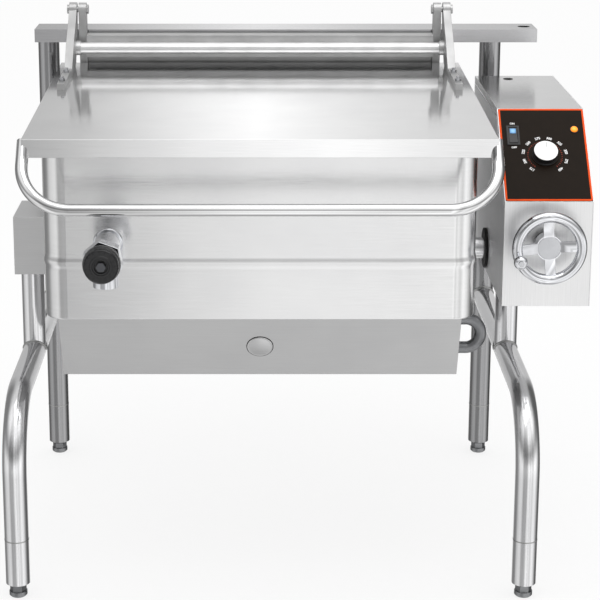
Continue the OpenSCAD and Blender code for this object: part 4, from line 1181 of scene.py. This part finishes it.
@dataclass
class DrawOffValve(SubAssembly):
    """The draw-off valve with its black knob."""

    body_z: float = 763.0
    jacket_in: float = 5.0
    ring_bore: float = 27.2
    knob_bore: float = 5.2
    grip_marks: int = 15
    grip_mark_r: float = 28.0

    def build(self) -> None:
        """Dresses the valve and turns its knob."""
        f = self.finishes
        self.refine_all(Body.PAN, (("valve_body", f.chrome, 1.2), ("valve_bonnet", f.chrome, 1.2)))
        self.shop.dress("valve_stem", f.hub)
        # The nut's dark tone is a painted reflection of the knob's shaded middle
        self.shop.refine("valve_nut", f.oxide, Body.STEM, edge=0.8)
        self.flange()
        self.knob()

    def flange(self) -> None:
        """Adds the ring nut that clamps the valve to the pan's front."""
        centre = Vector((self.shop.middle("valve_body").x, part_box("pan_jacket")[0].y + self.jacket_in * MM,
                         self.body_z * MM))
        r = self.ring_bore
        ring = self.shop.turned([(r, 0), (31, 0), (31, 7), (29.6, 9), (r, 9), (r, 0)],
                                Matrix.Translation(centre) @ FORWARD)
        self.shop.keep("valve_ring_nut", ring, self.finishes.chrome, Body.PAN, slot="chrome")

    def knob(self) -> None:
        """Turns the knob: ringed black face, sunk middle and a circle of raised grip marks."""
        low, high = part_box("valve_knob")
        back = Matrix.Translation(((low.x + high.x) / 2, high.y, (low.z + high.z) / 2)) @ FORWARD
        front, r, bore = (high.y - low.y) / MM, (high.x - low.x) / 2 / MM, self.knob_bore
        parts = [self.shop.turned(
            [(bore, 0), (21.5, 0), (22.5, 1), (22.5, 9.2), (35, 9.8), (r - 0.6, 10.8), (r, 13), (r, 22),
             (r - 0.8, 26), (r - 1.8, 27), (r - 2.2, 33), (r - 3.2, front - 1.6), (r - 4.4, front),
             (r - 5.6, front - 1.2), (22.6, front - 1.2), (21.6, front), (17.4, front), (16.4, front - 1.2),
             (13.6, front - 1.2), (12.8, front - 2.4), (12.6, front - 5.2), (bore, front - 5.4), (bore, 0)],
            back, 96)]
        for index in range(self.grip_marks):
            turn = Matrix.Rotation(math.tau * index / self.grip_marks, 4, "Z")
            parts.append(self.shop.block((5.2, 2.6, 1.0), back @ turn @ Matrix.Translation(
                (self.grip_mark_r * MM, 0, (front - 0.9) * MM)), 0.4))
        self.shop.stand_in(self.shop.keep("valve_knob_ringed", self.shop.join(parts), self.finishes.knob,
                                          Body.KNOB, smooth=30), "valve_knob")


@dataclass
class Studio:
    """The plain pale floor, the soft light and the camera. Its lengths are in metres."""

    floor_reach: float = 30.0
    # Share of the floor that is pure white to the camera, so that a faint soft shadow is left in it
    floor_white: float = 0.8
    # Light that plain surfaces get from all round, where 1 is white
    level: float = 0.92
    softbox_at: tuple[float, float, float] = (0.3, -0.6, 3.4)
    softbox_aim: tuple[float, float, float] = (0.0, 0.0, 0.7)
    softbox_size: tuple[float, float] = (3.0, 2.2)
    softbox_watts: float = 27.0
    camera_at: tuple[float, float, float] = (-0.0754, -4.0747, 1.7203)
    camera_tilt: float = 75.68
    sensor_mm: float = 36.0
    lens_mm: float = 114.0
    shift: tuple[float, float] = (0.0671, -0.1)

    # How bright the studio round the pan looks in the metal, by bearing from the camera's side
    # (0 towards the camera, positive to the right): pale screens with dark gaps between them
    AROUND = ((-180, 1.22), (-178, 1.05), (-174, 0.6), (-158, 0.55), (-138, 0.22), (-108, 0.3), (-86, 0.75),
              (-54, 0.9), (-40, 0.42), (-16, 0.5), (-7.5, 0.4), (-5.5, 0.6), (-4, 0.78), (-1.5, 1.0),
              (2.5, 1.16), (5, 0.96), (7, 0.84), (10, 1.3),
              (14, 1.15), (18, 0.7), (27, 1.1), (44, 0.75), (60, 1.2), (80, 0.95), (96, 0.5), (112, 0.14),
              (142, 0.12), (158, 0.6), (170, 0.75), (175, 0.82), (178, 1.02), (180, 1.22))
    # The same by height: a bright floor, a dark horizon where the room is, a bright ceiling
    HEIGHT = ((-90, 0.45), (-74, 0.7), (-60, 1.4), (-38, 1.25), (-22, 0.98), (-16, 1.08), (-11, 1.16),
              (-5, 1.22), (0, 1.12), (6, 0.72), (15, 0.4), (27, 0.7), (40, 1.25), (56, 1.4), (72, 1.1),
              (90, 0.8))
    # Brighter than any row of the tables, as a colour ramp holds no more than 1
    TOP = 1.6

    def build(self) -> None:
        """Builds the studio."""
        self.floor()
        self.world()
        self.softbox()
        self.camera()

    def floor(self) -> None:
        """Lays a wide white floor, which the metal's reflections see as part of the world."""
        mesh = bmesh.new()
        bmesh.ops.create_grid(mesh, x_segments=1, y_segments=1, size=self.floor_reach)
        data = bpy.data.meshes.new("floor")
        mesh.to_mesh(data)
        mesh.free()
        # Matt white paper: flat and even, with no shine
        material = bpy.data.materials.new("white studio paper")
        material.use_nodes = True
        tree = material.node_tree
        tree.nodes.clear()
        paper = add(tree, "ShaderNodeBsdfDiffuse", {"Color": linear("#fbfbfb")}).outputs["BSDF"]
        clear = add(tree, "ShaderNodeBsdfTransparent").outputs["BSDF"]
        path = add(tree, "ShaderNodeLightPath").outputs
        white = add(tree, "ShaderNodeEmission").outputs["Emission"]
        share = add(tree, "ShaderNodeMath", {0: path["Is Camera Ray"], 1: self.floor_white},
                    operation="MULTIPLY").outputs[0]
        lit = add(tree, "ShaderNodeMixShader", {0: share, 1: paper, 2: white}).outputs["Shader"]
        seen = add(tree, "ShaderNodeMixShader", {0: path["Is Glossy Ray"], 1: lit,
                                                 2: clear}).outputs["Shader"]
        add(tree, "ShaderNodeOutputMaterial", {"Surface": seen})
        data.materials.append(material)
        floor = bpy.data.objects.new("floor", data)
        bpy.context.scene.collection.objects.link(floor)

    @classmethod
    def profile(cls, tree: bpy.types.NodeTree, value: bpy.types.NodeSocket,
                stops: Sequence[tuple[float, float]]) -> bpy.types.NodeSocket:
        """Reads a brightness off a table of bearings or heights.

        Args:
            tree: The world's tree.
            value: The angle in degrees.
            stops: Angle and brightness of each row, from the lowest angle to the highest.

        Returns:
            The brightness.
        """
        low, high = stops[0][0], stops[-1][0]
        place = add(tree, "ShaderNodeMapRange", {"Value": value, "From Min": low,
                                                 "From Max": high}).outputs["Result"]
        greys = [((angle - low) / (high - low), (bright / cls.TOP,) * 3 + (1.0,)) for angle, bright in stops]
        return add(tree, "ShaderNodeMath", {0: ramp(tree, place, greys), 1: cls.TOP},
                   operation="MULTIPLY").outputs[0]

    def world(self) -> None:
        """Lights the studio evenly, and stands its screens round the pan for the metal to mirror."""
        world = bpy.data.worlds.new("studio")
        bpy.context.scene.world = world
        world.use_nodes = True
        tree = world.node_tree
        tree.nodes.clear()
        way = add(tree, "ShaderNodeTexCoord").outputs["Generated"]
        split = add(tree, "ShaderNodeSeparateXYZ", {"Vector": way}).outputs
        front = add(tree, "ShaderNodeMath", {0: split["Y"], 1: -1.0}, operation="MULTIPLY").outputs[0]
        turn = add(tree, "ShaderNodeMath", {0: split["X"], 1: front}, operation="ARCTAN2").outputs[0]
        rise = add(tree, "ShaderNodeMath", {0: split["Z"]}, operation="ARCSINE").outputs[0]
        bearing, height = (add(tree, "ShaderNodeMath", {0: angle}, operation="DEGREES").outputs[0]
                           for angle in (turn, rise))
        around = self.profile(tree, bearing, self.AROUND)
        upward = self.profile(tree, height, self.HEIGHT)
        # The paper backdrop hides the room's dark horizon behind the pan
        behind = add(tree, "ShaderNodeMapRange", {"Value": split["Y"], "From Min": 0.0,
                                                  "From Max": 0.6}).outputs["Result"]
        band = add(tree, "ShaderNodeMix", {0: behind, 2: upward, 3: 1.0}, data_type="FLOAT").outputs[0]
        # Straight up and down the screens' bearings no longer matter
        slope = add(tree, "ShaderNodeMath", {0: height}, operation="ABSOLUTE").outputs[0]
        steep = add(tree, "ShaderNodeMapRange", {"Value": slope, "From Min": 35.0,
                                                 "From Max": 70.0}).outputs["Result"]
        screens = add(tree, "ShaderNodeMix", {0: steep, 2: around, 3: 0.8}, data_type="FLOAT").outputs[0]
        seen = add(tree, "ShaderNodeMath", {0: screens, 1: band}, operation="MULTIPLY").outputs[0]
        path = add(tree, "ShaderNodeLightPath").outputs
        lit = add(tree, "ShaderNodeMix", {0: path["Is Glossy Ray"], 2: self.level, 3: seen},
                  data_type="FLOAT").outputs[0]
        strength = add(tree, "ShaderNodeMix", {0: path["Is Camera Ray"], 2: lit, 3: 1.0},
                       data_type="FLOAT").outputs[0]
        light = add(tree, "ShaderNodeBackground", {"Color": (1, 1, 1, 1), "Strength": strength})
        add(tree, "ShaderNodeOutputWorld", {"Surface": light.outputs["Background"]})

    def softbox(self) -> None:
        """Hangs a wide softbox overhead, which gives the floor its soft shadow."""
        light = bpy.data.lights.new("overhead", "AREA")
        light.shape, light.energy = "RECTANGLE", self.softbox_watts
        light.size, light.size_y = self.softbox_size
        lamp = bpy.data.objects.new("overhead", light)
        bpy.context.scene.collection.objects.link(lamp)
        lamp.location = self.softbox_at
        lamp.rotation_euler = (Vector(self.softbox_aim) - lamp.location).to_track_quat("-Z", "Y").to_euler()

    def camera(self) -> None:
        """Stands the camera where the photograph was taken from."""
        data = bpy.data.cameras.new("camera")
        data.sensor_width, data.lens, data.clip_end = self.sensor_mm, self.lens_mm, 100.0
        data.shift_x, data.shift_y = self.shift
        camera = bpy.data.objects.new("camera", data)
        bpy.context.scene.collection.objects.link(camera)
        camera.location = self.camera_at
        camera.rotation_euler = (math.radians(self.camera_tilt), 0.0, 0.0)
        bpy.context.scene.camera = camera


def main() -> None:
    """Builds the pan, its looks and its studio."""
    logging.basicConfig(level=logging.INFO, format="%(name)s: %(message)s")
    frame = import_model()
    bpy.context.scene.view_settings.view_transform = "Standard"
    Studio().build()
    shop, finishes = Workshop(frame), Finishes()
    for kind in (Stand, Pan, Lid, Console, Handwheel, DrawOffValve):
        before = len(shop.pieces)
        kind(shop, finishes).build()
        for piece in shop.pieces[before:]:
            LOG.info("%s: %s", kind.__name__, piece.name)


if __name__ == "__main__":
    main()
